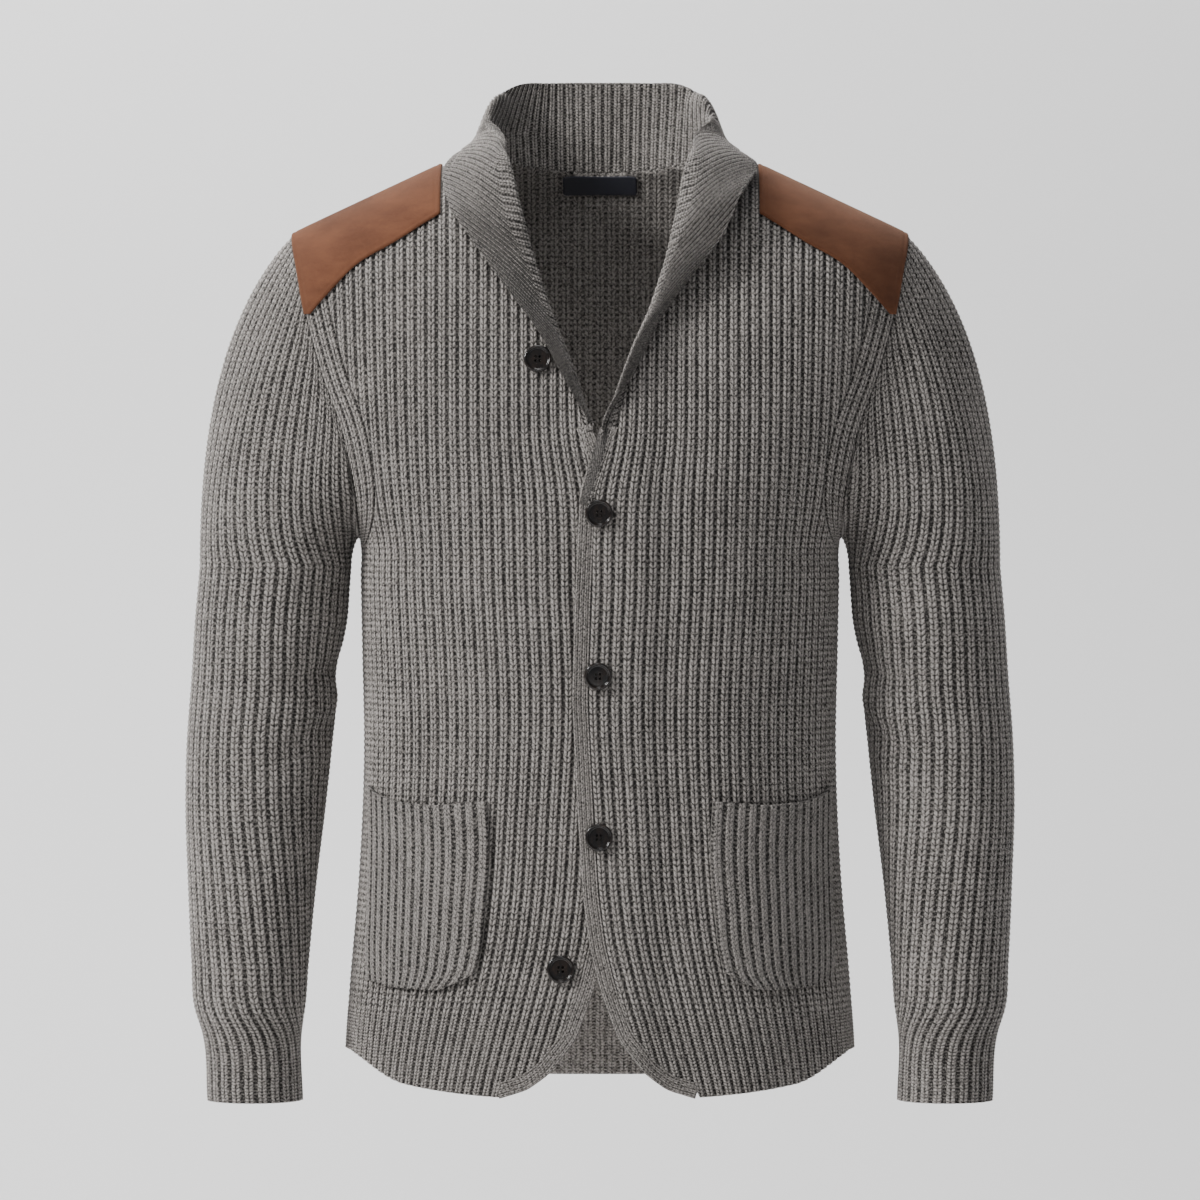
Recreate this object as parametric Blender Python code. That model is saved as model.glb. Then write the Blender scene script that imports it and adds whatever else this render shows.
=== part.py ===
"""Knit blazer: a ribbed cardigan-jacket, filled out as if worn.

Metres, +Z up, the front faces -Y and the wearer's left is +X.
The origin is at the back neck seam's level, midway between the shoulders.
Every cloth piece is a closed wall: a plain inside and an outside whose ribs are raised.
"""
import math
from functools import partial

import bpy
import numpy as np
from mathutils import Matrix

# ------------------------------------------------------------------ driving sizes
MM = 0.001
SEAM_GAP = 0.3 * MM            # between two pieces that are sewn together
LAID_GAP = 0.6 * MM            # under a piece that lies on the ribs, at their crests
WALL = 2.6 * MM                # knit at the bottom of a rib's trough
RIB = 1.6 * MM                 # height of a rib over its trough
SUEDE = 1.4 * MM
COLLAR_WALL = 2.8 * MM
STAND_OPEN = 3.5 * MM          # half the width that the collar's fold is held open by
COLLAR_RIB = 1.2 * MM
COLLAR_SEAM_GAP = 0.5 * MM
COLLAR_END_GAP = 1.4 * MM      # over the edge band's own end
LABEL_WALL = 0.8 * MM
LABEL_GAP = 0.9 * MM           # the plain inside behind it runs straight between columns
LABEL_HALF, LABEL_LOW, LABEL_TOP = 0.028, -0.0140, -0.0005

FRONT_RIBS = 30                # from the edge band to the side seam
BACK_RIBS = 54
POCKET_RIBS = 14
POCKET_RIB = 1.2 * MM
SLEEVE_PITCH = 9.0 * MM
COLLAR_PITCH = 7.2 * MM
PLAIN_STEP = 6                 # the plain inside has one column for so many outside

UNDERARM_Z = -0.275
NECK_SIDE_X = 0.088            # where the shoulder seam meets the collar
SHOULDER_TIP_X = 0.2265
SHOULDER_SLOPE = 0.467
SHOULDER_REF = (0.116, 0.0)    # a point of the shoulder line, x and z
SHOULDER_ROUND = 0.065         # height over which front and back roll into the shoulder
SIDE_POWER = 2.6               # how square the body's plan is
BREAK_Z = -0.202               # where the lapels begin
HEM_FRONT_Z = -0.677
HEM_SIDE_RISE = 0.018
BAND_WIDTH = 0.011
CORNER_Z = -0.590              # below it the front's edge rounds away from the ribs
BAND_END_X = 0.068             # the edge band stops here on the hem
OVERLAP_LIFT = 6.3 * MM        # the wearer's left front lies over the right one
# the band across, from its seam to the free edge: share of the width and millimetres up
BAND_SECTION = ((0.0, 0.6), (0.25, 0.8), (0.5, 1.3), (0.8, 1.9), (1.0, 1.0))
BUTTON_RADIUS = 10.0 * MM
BUTTON_HEIGHT = 3.4 * MM
# a button's turned profile: share of the radius and of the height, from the back's edge
BUTTON_PROFILE = ((0.86, 0.0), (1.0, 0.30), (0.96, 0.82), (0.82, 1.0), (0.64, 0.60))
BUTTON_SIDES = 16
HOLE_SIDES = 6
HOLE_RADIUS = 0.95 * MM
HOLE_OUT = 2.1 * MM            # a hole's distance from the button's middle

# the body's plan at each height: half width, depth to the front and to the back
# columns: z, half_width, front, back
BODY = (
    (-0.690, 0.1850, 0.1170, 0.1170),
    (-0.650, 0.1846, 0.1165, 0.1165),
    (-0.600, 0.1812, 0.1140, 0.1130),
    (-0.520, 0.1745, 0.1100, 0.1060),
    (-0.430, 0.1708, 0.1090, 0.1020),
    (-0.350, 0.1722, 0.1140, 0.1060),
    (-0.300, 0.1732, 0.1180, 0.1110),
    (-0.275, 0.1735, 0.1195, 0.1140),
    (-0.250, 0.1850, 0.1205, 0.1165),
    (-0.220, 0.2000, 0.1205, 0.1190),
    (-0.190, 0.2120, 0.1190, 0.1205),
    (-0.150, 0.2260, 0.1140, 0.1200),
    (-0.110, 0.2360, 0.1070, 0.1160),
    (-0.070, 0.2440, 0.0980, 0.1070),
    (-0.030, 0.2500, 0.0890, 0.0920),
    (0.030, 0.2560, 0.0780, 0.0660),
)

# the armhole's edge on that body, seen from the front
# columns: z, x
ARMHOLE = (
    (-0.2750, 0.1735),
    (-0.2600, 0.1745),
    (-0.2430, 0.1760),
    (-0.2200, 0.1800),
    (-0.1910, 0.1870),
    (-0.1540, 0.2005),
    (-0.1080, 0.2135),
    (-0.0750, 0.2205),
    (-0.0516, 0.2265),
    (0.0300, 0.2265),
)

# the front's neckline, from the shoulder seam down to the break
# columns: z, x
NECKLINE = (
    (-0.250, -0.0050),
    (-0.230, 0.0002),
    (-0.215, 0.0045),
    (-0.198, 0.0095),
    (-0.168, 0.0185),
    (-0.135, 0.0310),
    (-0.106, 0.0455),
    (-0.070, 0.0595),
    (-0.044, 0.0675),
    (-0.015, 0.0765),
    (0.000, 0.0815),
    (0.008, 0.0855),
    (0.013, 0.0880),
)

# the front edge, past the middle at first, then round the lower corner
# columns: z, x
FRONT_EDGE = (
    (-0.202, -0.0020),
    (-0.238, -0.0144),
    (-0.317, -0.0180),
    (-0.389, -0.0200),
    (-0.475, -0.0158),
    (-0.533, -0.0122),
    (-0.569, -0.0072),
    (-0.598, 0.0000),
    (-0.634, 0.0130),
    (-0.659, 0.0324),
    (-0.6705, 0.0480),
    (-0.6768, BAND_END_X),
)
UNDER_EDGE_SHIFT = 0.004       # the right front's edge stops a little shorter

# the line that the ribs beside the band follow: it leaves the edge at the corner
# columns: z, x
RIB_LINE = (
    (-0.700, 0.0300),
    (-0.660, 0.0185),
    (-0.634, 0.0105),
    (-0.598, 0.0000),
    (-0.569, -0.0072),
    (-0.533, -0.0122),
    (-0.475, -0.0158),
    (-0.389, -0.0200),
    (-0.317, -0.0180),
    (-0.238, -0.0144),
    (-0.202, -0.0060),
    (-0.150, -0.0040),
    (0.030, -0.0040),
)

# the sleeve below the underarm: outer and inner face seen from the front, and middle in y
# columns: z, outer, inner, middle_y
SLEEVE = (
    (-0.292, 0.2965, 0.1835, -0.001),
    (-0.330, 0.3000, 0.1868, 0.001),
    (-0.376, 0.3030, 0.1940, 0.003),
    (-0.420, 0.3062, 0.1975, 0.002),
    (-0.465, 0.3070, 0.2020, -0.003),
    (-0.524, 0.3045, 0.2087, -0.013),
    (-0.583, 0.3012, 0.2140, -0.023),
    (-0.617, 0.2985, 0.2165, -0.028),
    (-0.634, 0.2930, 0.2190, -0.030),
    (-0.684, 0.2888, 0.2180, -0.034),
)
SLEEVE_ROUNDNESS = 1.08        # depth over width
CAP_ROWS = 4
UNEVEN = 0.04 * MM             # knitted rows are never quite level, nor ribs quite straight
UNEVEN_WAVES = (7919.0, 6007.0, 5003.0)

# soft folds of the sleeves: height, place round the arm (0 outer, 0.25 front), depth, spans
# columns: z, turn, depth, span_z, span_turn, slant
SLEEVE_FOLDS = (
    (-0.372, 0.40, 3.2 * MM, 0.010, 0.13, 0.10),
    (-0.398, 0.42, -2.6 * MM, 0.009, 0.12, 0.12),
    (-0.340, 0.36, -1.8 * MM, 0.012, 0.12, 0.08),
    (-0.430, 0.34, 2.0 * MM, 0.012, 0.11, 0.15),
    (-0.386, 0.60, 2.6 * MM, 0.012, 0.12, -0.12),
    (-0.415, 0.62, -1.8 * MM, 0.011, 0.11, -0.10),
)

# the collar's stand, world millimetres: roll crest and free edge, from the middle back on
# columns: seam_x, roll_x, roll_y, roll_z, edge_x, edge_y, edge_z
STAND = (
    (0.0, 0.0, 77.0, 38.0, 0.0, 81.0, 72.0),
    (32.0, 32.5, 74.5, 38.5, 33.5, 79.0, 72.0),
    (58.0, 60.0, 60.0, 41.0, 62.0, 66.0, 72.0),
    (77.0, 76.0, 38.0, 52.0, 80.5, 47.0, 52.0),
    (88.0, 83.0, 7.0, 38.0, 95.5, 22.0, 20.0),
)

# the lapels: seam height, then roll line and free edge seen from the front, edge's lift
# columns: seam_z, roll_x, roll_z, edge_x, edge_z, edge_lift, roll_lift
LAPEL_RIGHT = (
    (0.000, 0.0690, 0.018, 0.1050, 0.002, 0.0086, 0.0130),
    (-0.015, 0.0650, -0.004, 0.1120, -0.012, 0.0084, 0.0130),
    (-0.044, 0.0565, -0.042, 0.1065, -0.036, 0.0088, 0.0134),
    (-0.070, 0.0490, -0.070, 0.0900, -0.061, 0.0093, 0.0134),
    (-0.106, 0.0370, -0.106, 0.0680, -0.092, 0.0087, 0.0122),
    (-0.135, 0.0245, -0.137, 0.0440, -0.125, 0.0084, 0.0115),
    (-0.168, 0.0128, -0.170, 0.0262, -0.158, 0.0084, 0.0105),
    (-0.184, 0.0070, -0.186, 0.0120, -0.182, 0.0070, 0.0080),
)
LAPEL_LEFT = (
    (0.000, 0.0680, 0.018, 0.1050, 0.002, 0.0088, 0.0140),
    (-0.015, 0.0620, -0.004, 0.1105, -0.010, 0.0120, 0.0160),
    (-0.044, 0.0545, -0.045, 0.0970, -0.033, 0.0240, 0.0200),
    (-0.070, 0.0485, -0.071, 0.0870, -0.057, 0.0210, 0.0190),
    (-0.106, 0.0370, -0.106, 0.0660, -0.086, 0.0170, 0.0170),
    (-0.135, 0.0240, -0.136, 0.0455, -0.114, 0.0140, 0.0150),
    (-0.168, 0.0115, -0.170, 0.0260, -0.152, 0.0100, 0.0120),
    (-0.186, 0.0040, -0.187, 0.0085, -0.182, 0.0070, 0.0080),
    (-0.210, 0.0020, -0.210, -0.0040, -0.210, 0.0017, 0.0034),
)

# the shoulder patch's lower edge on the front, seen from the front
# columns: x, z
PATCH_EDGE = (
    (0.100, -0.0290),
    (0.109, -0.0350),
    (0.124, -0.0450),
    (0.144, -0.0580),
    (0.176, -0.0760),
    (0.195, -0.0920),
    (0.214, -0.1080),
)
PATCH_NECK_X = 0.1145
PATCH_ARM_GAP = 0.8 * MM
PATCH_COLUMNS = 10
PATCH_MIDDLE_Z = -0.080

# the pocket, seen from the front
# columns: z, inner_x, outer_x
POCKET = (
    (-0.6000, 0.1000, 0.1640),
    (-0.5900, 0.0905, 0.1655),
    (-0.5750, 0.0855, 0.1660),
    (-0.5400, 0.0815, 0.1650),
    (-0.5000, 0.0785, 0.1640),
    (-0.4550, 0.0805, 0.1640),
)
POCKET_MOUTH = ((0.0, -0.4625), (0.35, -0.4660), (0.65, -0.4640), (0.88, -0.4590), (1.0, -0.4530))
POCKET_FLOOR = ((0.0, -0.5860), (0.08, -0.5940), (0.20, -0.6000), (0.6, -0.5990), (1.0, -0.5945))

# the buttons: which front, and the middle seen from the front
# columns: name, front, x, z
BUTTONS = (
    ("button_collar", "right", -0.0446, -0.1440),
    ("button_upper", "left", -0.0007, -0.2544),
    ("button_middle", "left", -0.0014, -0.3710),
    ("button_lower", "left", -0.0007, -0.4884),
    ("button_hem", "right", -0.0281, -0.5836),
)

KNIT_GREY = (0.185, 0.172, 0.160, 1.0)
SUEDE_BROWN = (0.245, 0.086, 0.038, 1.0)
LABEL_NAVY = (0.012, 0.012, 0.018, 1.0)
HORN_BROWN = (0.020, 0.014, 0.012, 1.0)


# ------------------------------------------------------------------ small helpers
def smooth(table, column, value):
    """A table's column at a value, by a curve through its rows without kinks."""
    rows = np.array(sorted(table), float)
    xs, ys = rows[:, 0], rows[:, column]
    slopes = np.gradient(ys, xs)
    v = np.clip(np.asarray(value, float), xs[0], xs[-1])
    i = np.clip(np.searchsorted(xs, v) - 1, 0, len(xs) - 2)
    h = xs[i + 1] - xs[i]
    t = (v - xs[i]) / h
    a = ys[i] * (1 + 2 * t) * (1 - t) ** 2 + ys[i + 1] * t * t * (3 - 2 * t)
    b = h * slopes[i] * t * (1 - t) ** 2 - h * slopes[i + 1] * t * t * (1 - t)
    return a + b


def ease(value):
    """0 below 0 and 1 above 1, with a soft step between."""
    t = np.clip(value, 0.0, 1.0)
    return t * t * (3 - 2 * t)


def unit(vectors):
    v = np.asarray(vectors, float)
    return v / np.maximum(np.linalg.norm(v, axis=-1, keepdims=True), 1e-12)


def lengths_along(points):
    steps = np.linalg.norm(np.diff(points, axis=0), axis=1)
    return np.concatenate(([0.0], np.cumsum(steps)))


def resample(points, fractions):
    """Points at the given shares of a polyline's length."""
    s = lengths_along(points)
    s /= s[-1]
    return np.stack([np.interp(fractions, s, points[:, k]) for k in range(3)], axis=1)


# ------------------------------------------------------------------ the body's surface
def shoulder_z(x):
    return SHOULDER_REF[1] - (np.abs(x) - SHOULDER_REF[0]) * SHOULDER_SLOPE


def depth_squared(x, z, back):
    """The square of the cloth's distance from the middle plane, front or back."""
    depth = smooth(BODY, 3 if back else 2, z)
    fill = 1 - (np.abs(x) / smooth(BODY, 1, z)) ** SIDE_POWER
    drop = np.minimum((shoulder_z(x) - z) / SHOULDER_ROUND, 1.0)
    return depth ** 2 * fill * (2 * drop - drop ** 2)


def body_points(x, z, back):
    """Points of the plain inside and their outward normals, in a front's own x."""
    x, z = np.asarray(x, float), np.asarray(z, float)
    side = 1.0 if back else -1.0
    q = depth_squared(x, z, back)
    y = side * np.sqrt(np.maximum(q, 0.0))
    d = 2e-5
    qx = (depth_squared(x + d, z, back) - depth_squared(x - d, z, back)) / (2 * d)
    qz = (depth_squared(x, z + d, back) - depth_squared(x, z - d, back)) / (2 * d)
    return np.stack([x, y, z], -1), unit(np.stack([-qx, 2 * y, -qz], -1))


def overlap_lift(x, z, over):
    """How far the upper front stands off, so that the lower one fits behind it."""
    if not over:
        return np.zeros(np.shape(x))
    return OVERLAP_LIFT * ease((0.052 - x) / 0.030) * ease((-0.105 - z) / 0.030)


def front_points(x, z, over, lift):
    """Points of a front at a distance from its plain inside; x in its own side's sense."""
    p, n = body_points(x, z, False)
    return p + n * (np.asarray(lift) + overlap_lift(x, z, over))[..., None], n


def faceted_point(x, z, back, over, lift):
    """A point over a panel whose rows run straight between their heights."""
    high = float(back_high(x) if back else shoulder_z(x))
    levels = row_heights(lambda _: x, float(hem_z(x)), high)
    k = int(np.clip(np.searchsorted(levels, z) - 1, 0, len(levels) - 2))
    share = np.clip((z - levels[k]) / max(levels[k + 1] - levels[k], 1e-9), 0, 1)
    ends = []
    for level in levels[k:k + 2]:
        p, n = body_points(x, level, back)
        up = 0.0 if back else float(overlap_lift(x, level, over))
        ends.append(np.stack([p + n * (up + lift), n]))
    point, normal = ends[0] * (1 - share) + ends[1] * share
    return point, unit(normal)


def mirrored(points, side):
    return points * np.array([side, 1.0, 1.0])


# ------------------------------------------------------------------ closed walls
class Wall:
    """Collects the vertices and faces of one closed piece."""

    def __init__(self, name, material, bevel_angle=40.0):
        self.name, self.material = name, material
        self.vertices, self.faces, self.lookup = [], [], {}
        self.sharp = math.radians(bevel_angle)

    def add(self, point):
        key = tuple(np.round(point, 7))
        if key not in self.lookup:
            self.lookup[key] = len(self.vertices)
            self.vertices.append(key)
        return self.lookup[key]

    def add_rows(self, rows):
        return [[self.add(p) for p in row] for row in rows]

    def face(self, corners):
        loop = [c for i, c in enumerate(corners) if c != corners[i - 1]]
        if len(set(loop)) >= 3:
            self.faces.append(loop)

    def sheet(self, rows, flip=False):
        for low, high in zip(rows[:-1], rows[1:]):
            for i in range(len(low) - 1):
                quad = [low[i], low[i + 1], high[i + 1], high[i]]
                self.face(quad[::-1] if flip else quad)

    def zip_rim(self, first, second, flip=False):
        """Triangles between two rows that have the same ends and different counts."""
        i = j = 0
        while i < len(first) - 1 or j < len(second) - 1:
            ahead = (i + 1) / (len(first) - 1) if i < len(first) - 1 else 2.0
            behind = (j + 1) / (len(second) - 1) if j < len(second) - 1 else 2.0
            if ahead <= behind:
                corners = [first[i], first[i + 1], second[j]]
                i += 1
            else:
                corners = [first[i], second[j + 1], second[j]]
                j += 1
            self.face(corners[::-1] if flip else corners)

    def build(self, smooth_faces=True):
        mesh = bpy.data.meshes.new(self.name)
        mesh.from_pydata(self.vertices, [], self.faces)
        mesh.update()
        if signed_volume(mesh) < 0:
            mesh.flip_normals()
        mesh.materials.append(self.material)
        item = bpy.data.objects.new(self.name, mesh)
        bpy.context.scene.collection.objects.link(item)
        if smooth_faces:
            mesh.shade_smooth()
            mesh.set_sharp_from_angle(angle=self.sharp)
        return item


def signed_volume(mesh):
    mesh.calc_loop_triangles()
    total = 0.0
    for tri in mesh.loop_triangles:
        a, b, c = (mesh.vertices[k].co for k in tri.vertices)
        total += a.dot(b.cross(c))
    return total


def inset_ends(grid):
    """Draws a grid's borders back by half the seam's gap."""
    half = SEAM_GAP / 2
    g = grid.copy()
    g[:, 0] += unit(grid[:, 1] - grid[:, 0]) * half
    g[:, -1] += unit(grid[:, -2] - grid[:, -1]) * half
    g[0] += unit(grid[1] - grid[0]) * half
    g[-1] += unit(grid[-2] - grid[-1]) * half
    return g


def rib_relief(columns, height):
    """Rib crests on the odd columns and troughs on the even ones."""
    relief = np.zeros(columns)
    relief[1::2] = height
    return relief


def panel(name, material, base, normals, wall, relief, side=1.0, seams=True,
          step=PLAIN_STEP, fine_rims=()):
    """A closed wall from a grid of inside points, their normals and the relief."""
    if seams:
        base = inset_ends(base)
    outer = base + normals * (wall + relief)[..., None]
    columns = base.shape[1]
    keep = sorted(set(range(0, columns, step)) | {columns - 1})
    piece = Wall(name, material)
    out = piece.add_rows(mirrored(outer, side))
    inn = piece.add_rows(mirrored(base[:, keep], side))
    piece.sheet(out)
    plain = slice(1 if "low" in fine_rims else 0, -1 if "top" in fine_rims else None)
    piece.sheet(inn[plain], flip=True)
    for end, next_row, name_of_end, flip in ((0, 1, "low", True), (-1, -2, "top", False)):
        rim = piece.add_rows(mirrored(base[[end]], side))[0]
        fine = name_of_end in fine_rims
        for k, (first, last) in enumerate(zip(keep[:-1], keep[1:])):
            if fine:
                piece.sheet([out[end][first:last + 1], rim[first:last + 1]], flip)
                piece.zip_rim(rim[first:last + 1], inn[next_row][k:k + 2], flip)
            else:
                piece.zip_rim(out[end][first:last + 1], inn[end][k:k + 2], flip)
    for column, flip in ((0, False), (-1, True)):
        piece.zip_rim([r[column] for r in out], [r[column] for r in inn], flip)
    return piece.build()


# ------------------------------------------------------------------ fronts and back
# the panels' rows: heights up to the chest, then drops below the shoulder line
LEVELS = (-0.600, -0.470, -0.350, -0.275, -0.240, -0.195, -0.142, -0.080)
DROPS = (0.050, 0.024, 0.006)
EDGE_FADE = 4                  # above the underarm only the first ribs follow the edge
SETTLE_ROUNDS = 6              # a slanting column's x and its drop settle in so many rounds


def row_heights(x_at, low, high):
    """The heights of a column's rows; x_at gives its x at a height."""
    rows = [low, high] + list(LEVELS)
    for drop in DROPS:
        z = 0.0
        for _ in range(SETTLE_ROUNDS):
            z = shoulder_z(x_at(z)) - drop
        rows.append(z)
    return np.clip(sorted(rows), low, high)


def body_column_paths(shares, first_x, back):
    """Where each column runs: its x at each height, spaced evenly along the cloth."""
    heights = np.linspace(-0.69, 0.03, 145)
    paths = np.zeros((len(heights), len(shares)))
    girth = 0.0
    for i, z in enumerate(heights):
        half = smooth(BODY, 1, z)
        side_x = half if z <= UNDERARM_Z else min(smooth(ARMHOLE, 1, z), half)
        x = half * np.sin(np.linspace(-0.2, math.asin(side_x / half), 120))
        fill = np.maximum(1 - (np.abs(x) / half) ** SIDE_POWER, 0.0)
        y = smooth(BODY, 3 if back else 2, z) * np.sqrt(fill)
        s = lengths_along(np.stack([x, y], 1))
        first = np.interp(first_x(z), x, s)
        if z <= UNDERARM_Z:
            girth = s[-1] - first
            along = first + shares * girth
        else:
            # the ribs run straight up and keep their spacing: the armhole cuts them off
            kept = np.interp(first_x(UNDERARM_Z), x, s)
            girth = max(girth, s[-1] - kept)
            along = kept + shares * girth + (first - kept) * (1 - shares) ** EDGE_FADE
        paths[i] = np.interp(along, s, x)
    return heights, paths


def cut_column(heights, xs, low_at, high_at):
    """The x and height of one column's rows, between its lower and upper border."""
    z = np.linspace(heights[0], heights[-1], 1450)
    x = np.interp(z, heights, xs)
    above = z >= low_at(x)
    below = z <= high_at(x)
    middle = np.searchsorted(z, -0.40)
    first = middle
    while first > 0 and above[first - 1]:
        first -= 1
    last = middle
    while last < len(z) - 1 and below[last + 1]:
        last += 1
    rows = row_heights(lambda at: np.interp(at, heights, xs),
                       float(low_at(x[first])), float(high_at(x[last])))
    return np.stack([np.interp(rows, heights, xs), rows], -1)


def edge_line(over):
    """A fine line of x and z down a front's free edge and round its lower corner."""
    rows = np.array(FRONT_EDGE)
    x = rows[:, 1] + (0.0 if over else UNDER_EDGE_SHIFT)
    edge = np.stack([x, rows[:, 0]], 1)
    s = lengths_along(edge)
    at = np.linspace(0, s[-1], 800)
    return np.stack([np.interp(at, s, edge[:, k]) for k in range(2)], 1)


def front_low(over):
    """The lower border of a front: the hem, or the band's inner edge round the corner."""
    edge = edge_line(over)
    along = unit(np.gradient(edge, axis=0))
    inner = edge + np.stack([-along[:, 1], along[:, 0]], 1) * BAND_WIDTH
    corner = inner[inner[:, 1] < CORNER_Z]
    corner = corner[np.argsort(corner[:, 0])]

    def low(x):
        band = np.interp(x, corner[:, 0], corner[:, 1])
        return np.where(x < BAND_END_X, np.maximum(band, hem_z(x)), hem_z(x))

    return low


def hem_z(x):
    return HEM_FRONT_Z + HEM_SIDE_RISE * np.clip(np.abs(x) / 0.18, 0, 1) ** 3


def front_high(x):
    """The upper border of a front: its neckline, then the shoulder seam."""
    rows = np.array(NECKLINE)
    neck = np.interp(x, rows[:, 1], rows[:, 0])
    return np.where(x < NECK_SIDE_X, neck, shoulder_z(x))


def back_high(x):
    neck = 0.004 + (shoulder_z(NECK_SIDE_X) - 0.004) * (np.abs(x) / NECK_SIDE_X) ** 2
    return np.where(np.abs(x) < NECK_SIDE_X, neck, shoulder_z(x))


def column_grid(columns, first_x, back, low_at, high_at):
    shares = np.linspace(0, 1, columns)
    heights, paths = body_column_paths(shares, first_x, back)
    grid = []
    for k in range(columns):
        grid.append(cut_column(heights, paths[:, k], low_at, high_at))
    grid = np.stack(grid, axis=1)
    corner = np.argmin(np.abs(grid[-1, :, 0] - NECK_SIDE_X))
    grid[-1, corner] = NECK_SIDE_X, shoulder_z(NECK_SIDE_X)
    return grid


def panel_relief(grid):
    """Ribs on the odd columns, none where the armhole has cut a column off."""
    relief = np.broadcast_to(rib_relief(grid.shape[1], RIB), grid.shape[:2]).copy()
    arm = np.minimum(smooth(ARMHOLE, 1, grid[..., 1]), smooth(BODY, 1, grid[..., 1]))
    relief[np.abs(grid[..., 0]) > arm - 0.1 * MM] = 0.0
    return relief


def build_front(side_name, material):
    over = side_name == "left"
    side = 1.0 if over else -1.0
    shift = BAND_WIDTH + (0.0 if over else UNDER_EDGE_SHIFT)
    columns = 2 * FRONT_RIBS + 1
    grid = column_grid(columns, lambda z: smooth(RIB_LINE, 1, z) + shift, False,
                       front_low(over), front_high)
    points, normals = front_points(grid[..., 0], grid[..., 1], over, 0.0)
    panel("front_" + side_name, material, points, normals, WALL, panel_relief(grid), side,
          fine_rims=("low", "top"))
    return grid


def build_back(material):
    half = column_grid(BACK_RIBS + 1, lambda z: 0.0, True, hem_z, back_high)
    left = half[:, 1:][:, ::-1] * np.array([-1.0, 1.0])
    grid = np.concatenate([left, half], axis=1)
    points, normals = body_points(grid[..., 0], grid[..., 1], True)
    panel("back", material, points, normals, WALL, panel_relief(grid),
          fine_rims=("top",))
    return half


# ------------------------------------------------------------------ edge bands
def build_band(side_name, material, grid):
    """A strip from the front's own border out to the edge, round the lower corner."""
    over = side_name == "left"
    side = 1.0 if over else -1.0
    down_first = [grid[r, 0] for r in range(len(grid) - 1, -1, -1)
                  if r == 0 or grid[r, 0, 1] - grid[r - 1, 0, 1] > 1e-6]
    along_hem = [grid[0, k] for k in range(1, grid.shape[1])
                 if grid[0, k, 0] < BAND_END_X - 0.0015]
    edge = edge_line(over)
    across = np.array([share for share, _ in BAND_SECTION])
    height = np.array([lift * MM for _, lift in BAND_SECTION])
    base, normals = [], []
    for inner in down_first + along_hem:
        outer = edge[np.argmin(np.linalg.norm(edge - inner, axis=1))]
        gap = unit(outer - inner) * SEAM_GAP
        line = (inner + gap) + (outer - inner - gap) * across[:, None]
        made = [faceted_point(x, z, False, over, 0.0) for x, z in line]
        base.append([p for p, _ in made])
        normals.append([n for _, n in made])
    relief = np.broadcast_to(height, (len(base), len(across)))
    panel("edge_band_" + side_name, material, np.array(base), np.array(normals),
          WALL, relief, side, False)


# ------------------------------------------------------------------ sleeves
def armhole_loop(front_grid, back_grid, count):
    """Inside points, panel normals and away-from-panel directions, from the tip forward."""
    first = LEVELS.index(UNDERARM_Z) + 1
    parts = []
    for grid, back in ((front_grid, False), (back_grid, True)):
        edge = grid[first:, -1]
        points, normals = body_points(edge[:, 0], edge[:, 1], back)
        points[[0, -1], 1] = 0.0
        normals[[0, -1], 1] = 0.0
        share = lengths_along(points)
        share /= share[-1]
        at = np.linspace(1, 0, count // 2 + 1)
        parts.append([np.stack([np.interp(at, share, a[:, k]) for k in range(3)], 1)
                      for a in (points, normals)])
    front, rear = parts
    points = np.concatenate([front[0], rear[0][::-1][1:]])
    normals = unit(np.concatenate([front[1], rear[1][::-1][1:]]))
    closed = points[:-1]
    along = unit(np.roll(closed, -1, 0) - np.roll(closed, 1, 0))
    along = np.concatenate([along, along[:1]])
    away = unit(np.cross(normals, along))
    return points, normals, away * np.sign(away[0, 0])


def sleeve_ring(z, turns):
    """Inside points of the arm's tube; turn 0 is the outer side, 0.25 the front."""
    outer, inner = smooth(SLEEVE, 1, z), smooth(SLEEVE, 2, z)
    skin = WALL + RIB
    rx = (outer - inner) / 2 - skin
    ry = ((outer - inner) / 2) * SLEEVE_ROUNDNESS - skin
    cx, cy = (outer + inner) / 2, smooth(SLEEVE, 3, z)
    angle = 2 * math.pi * turns
    dent = np.zeros(len(turns))
    for fz, turn, depth, span_z, span_turn, slant in SLEEVE_FOLDS:
        off = (z - fz - slant * (turns - turn)) / span_z
        dent += depth * np.exp(-off ** 2) * np.exp(-((turns - turn) / span_turn) ** 2)
    x = cx + (rx - dent) * np.cos(angle)
    y = cy - (ry - dent) * np.sin(angle)
    return np.stack([x, y, np.full(len(turns), z)], 1)


def ring_by_length(z, distances):
    """Ring points at distances from the outer side, positive to the front."""
    turns = np.linspace(0, 0.5, 200)
    result = []
    for sign in (1, -1):
        ring = sleeve_ring(z, (sign * turns) % 1.0)
        s = lengths_along(ring)
        picked = distances[distances * sign >= 0] if sign > 0 else distances[distances < 0]
        at = np.minimum(np.abs(picked), s[-1])
        result.append((picked, np.interp(at, s, turns) * sign, s[-1]))
    turns_all = np.concatenate([result[1][1], result[0][1]])
    return turns_all, result[0][2]


def uneven(points):
    """The same rows, each point a few hundredths of a millimetre off, as in any knit."""
    phase = (points * np.array(UNEVEN_WAVES)).sum(-1)
    moved = points + UNEVEN * np.sin(phase[..., None] + np.array([0.0, 2.1, 4.2]))
    moved[-1, :, 2] = points[-1, :, 2]     # the cuff ends level, in one flat face
    return moved


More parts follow.
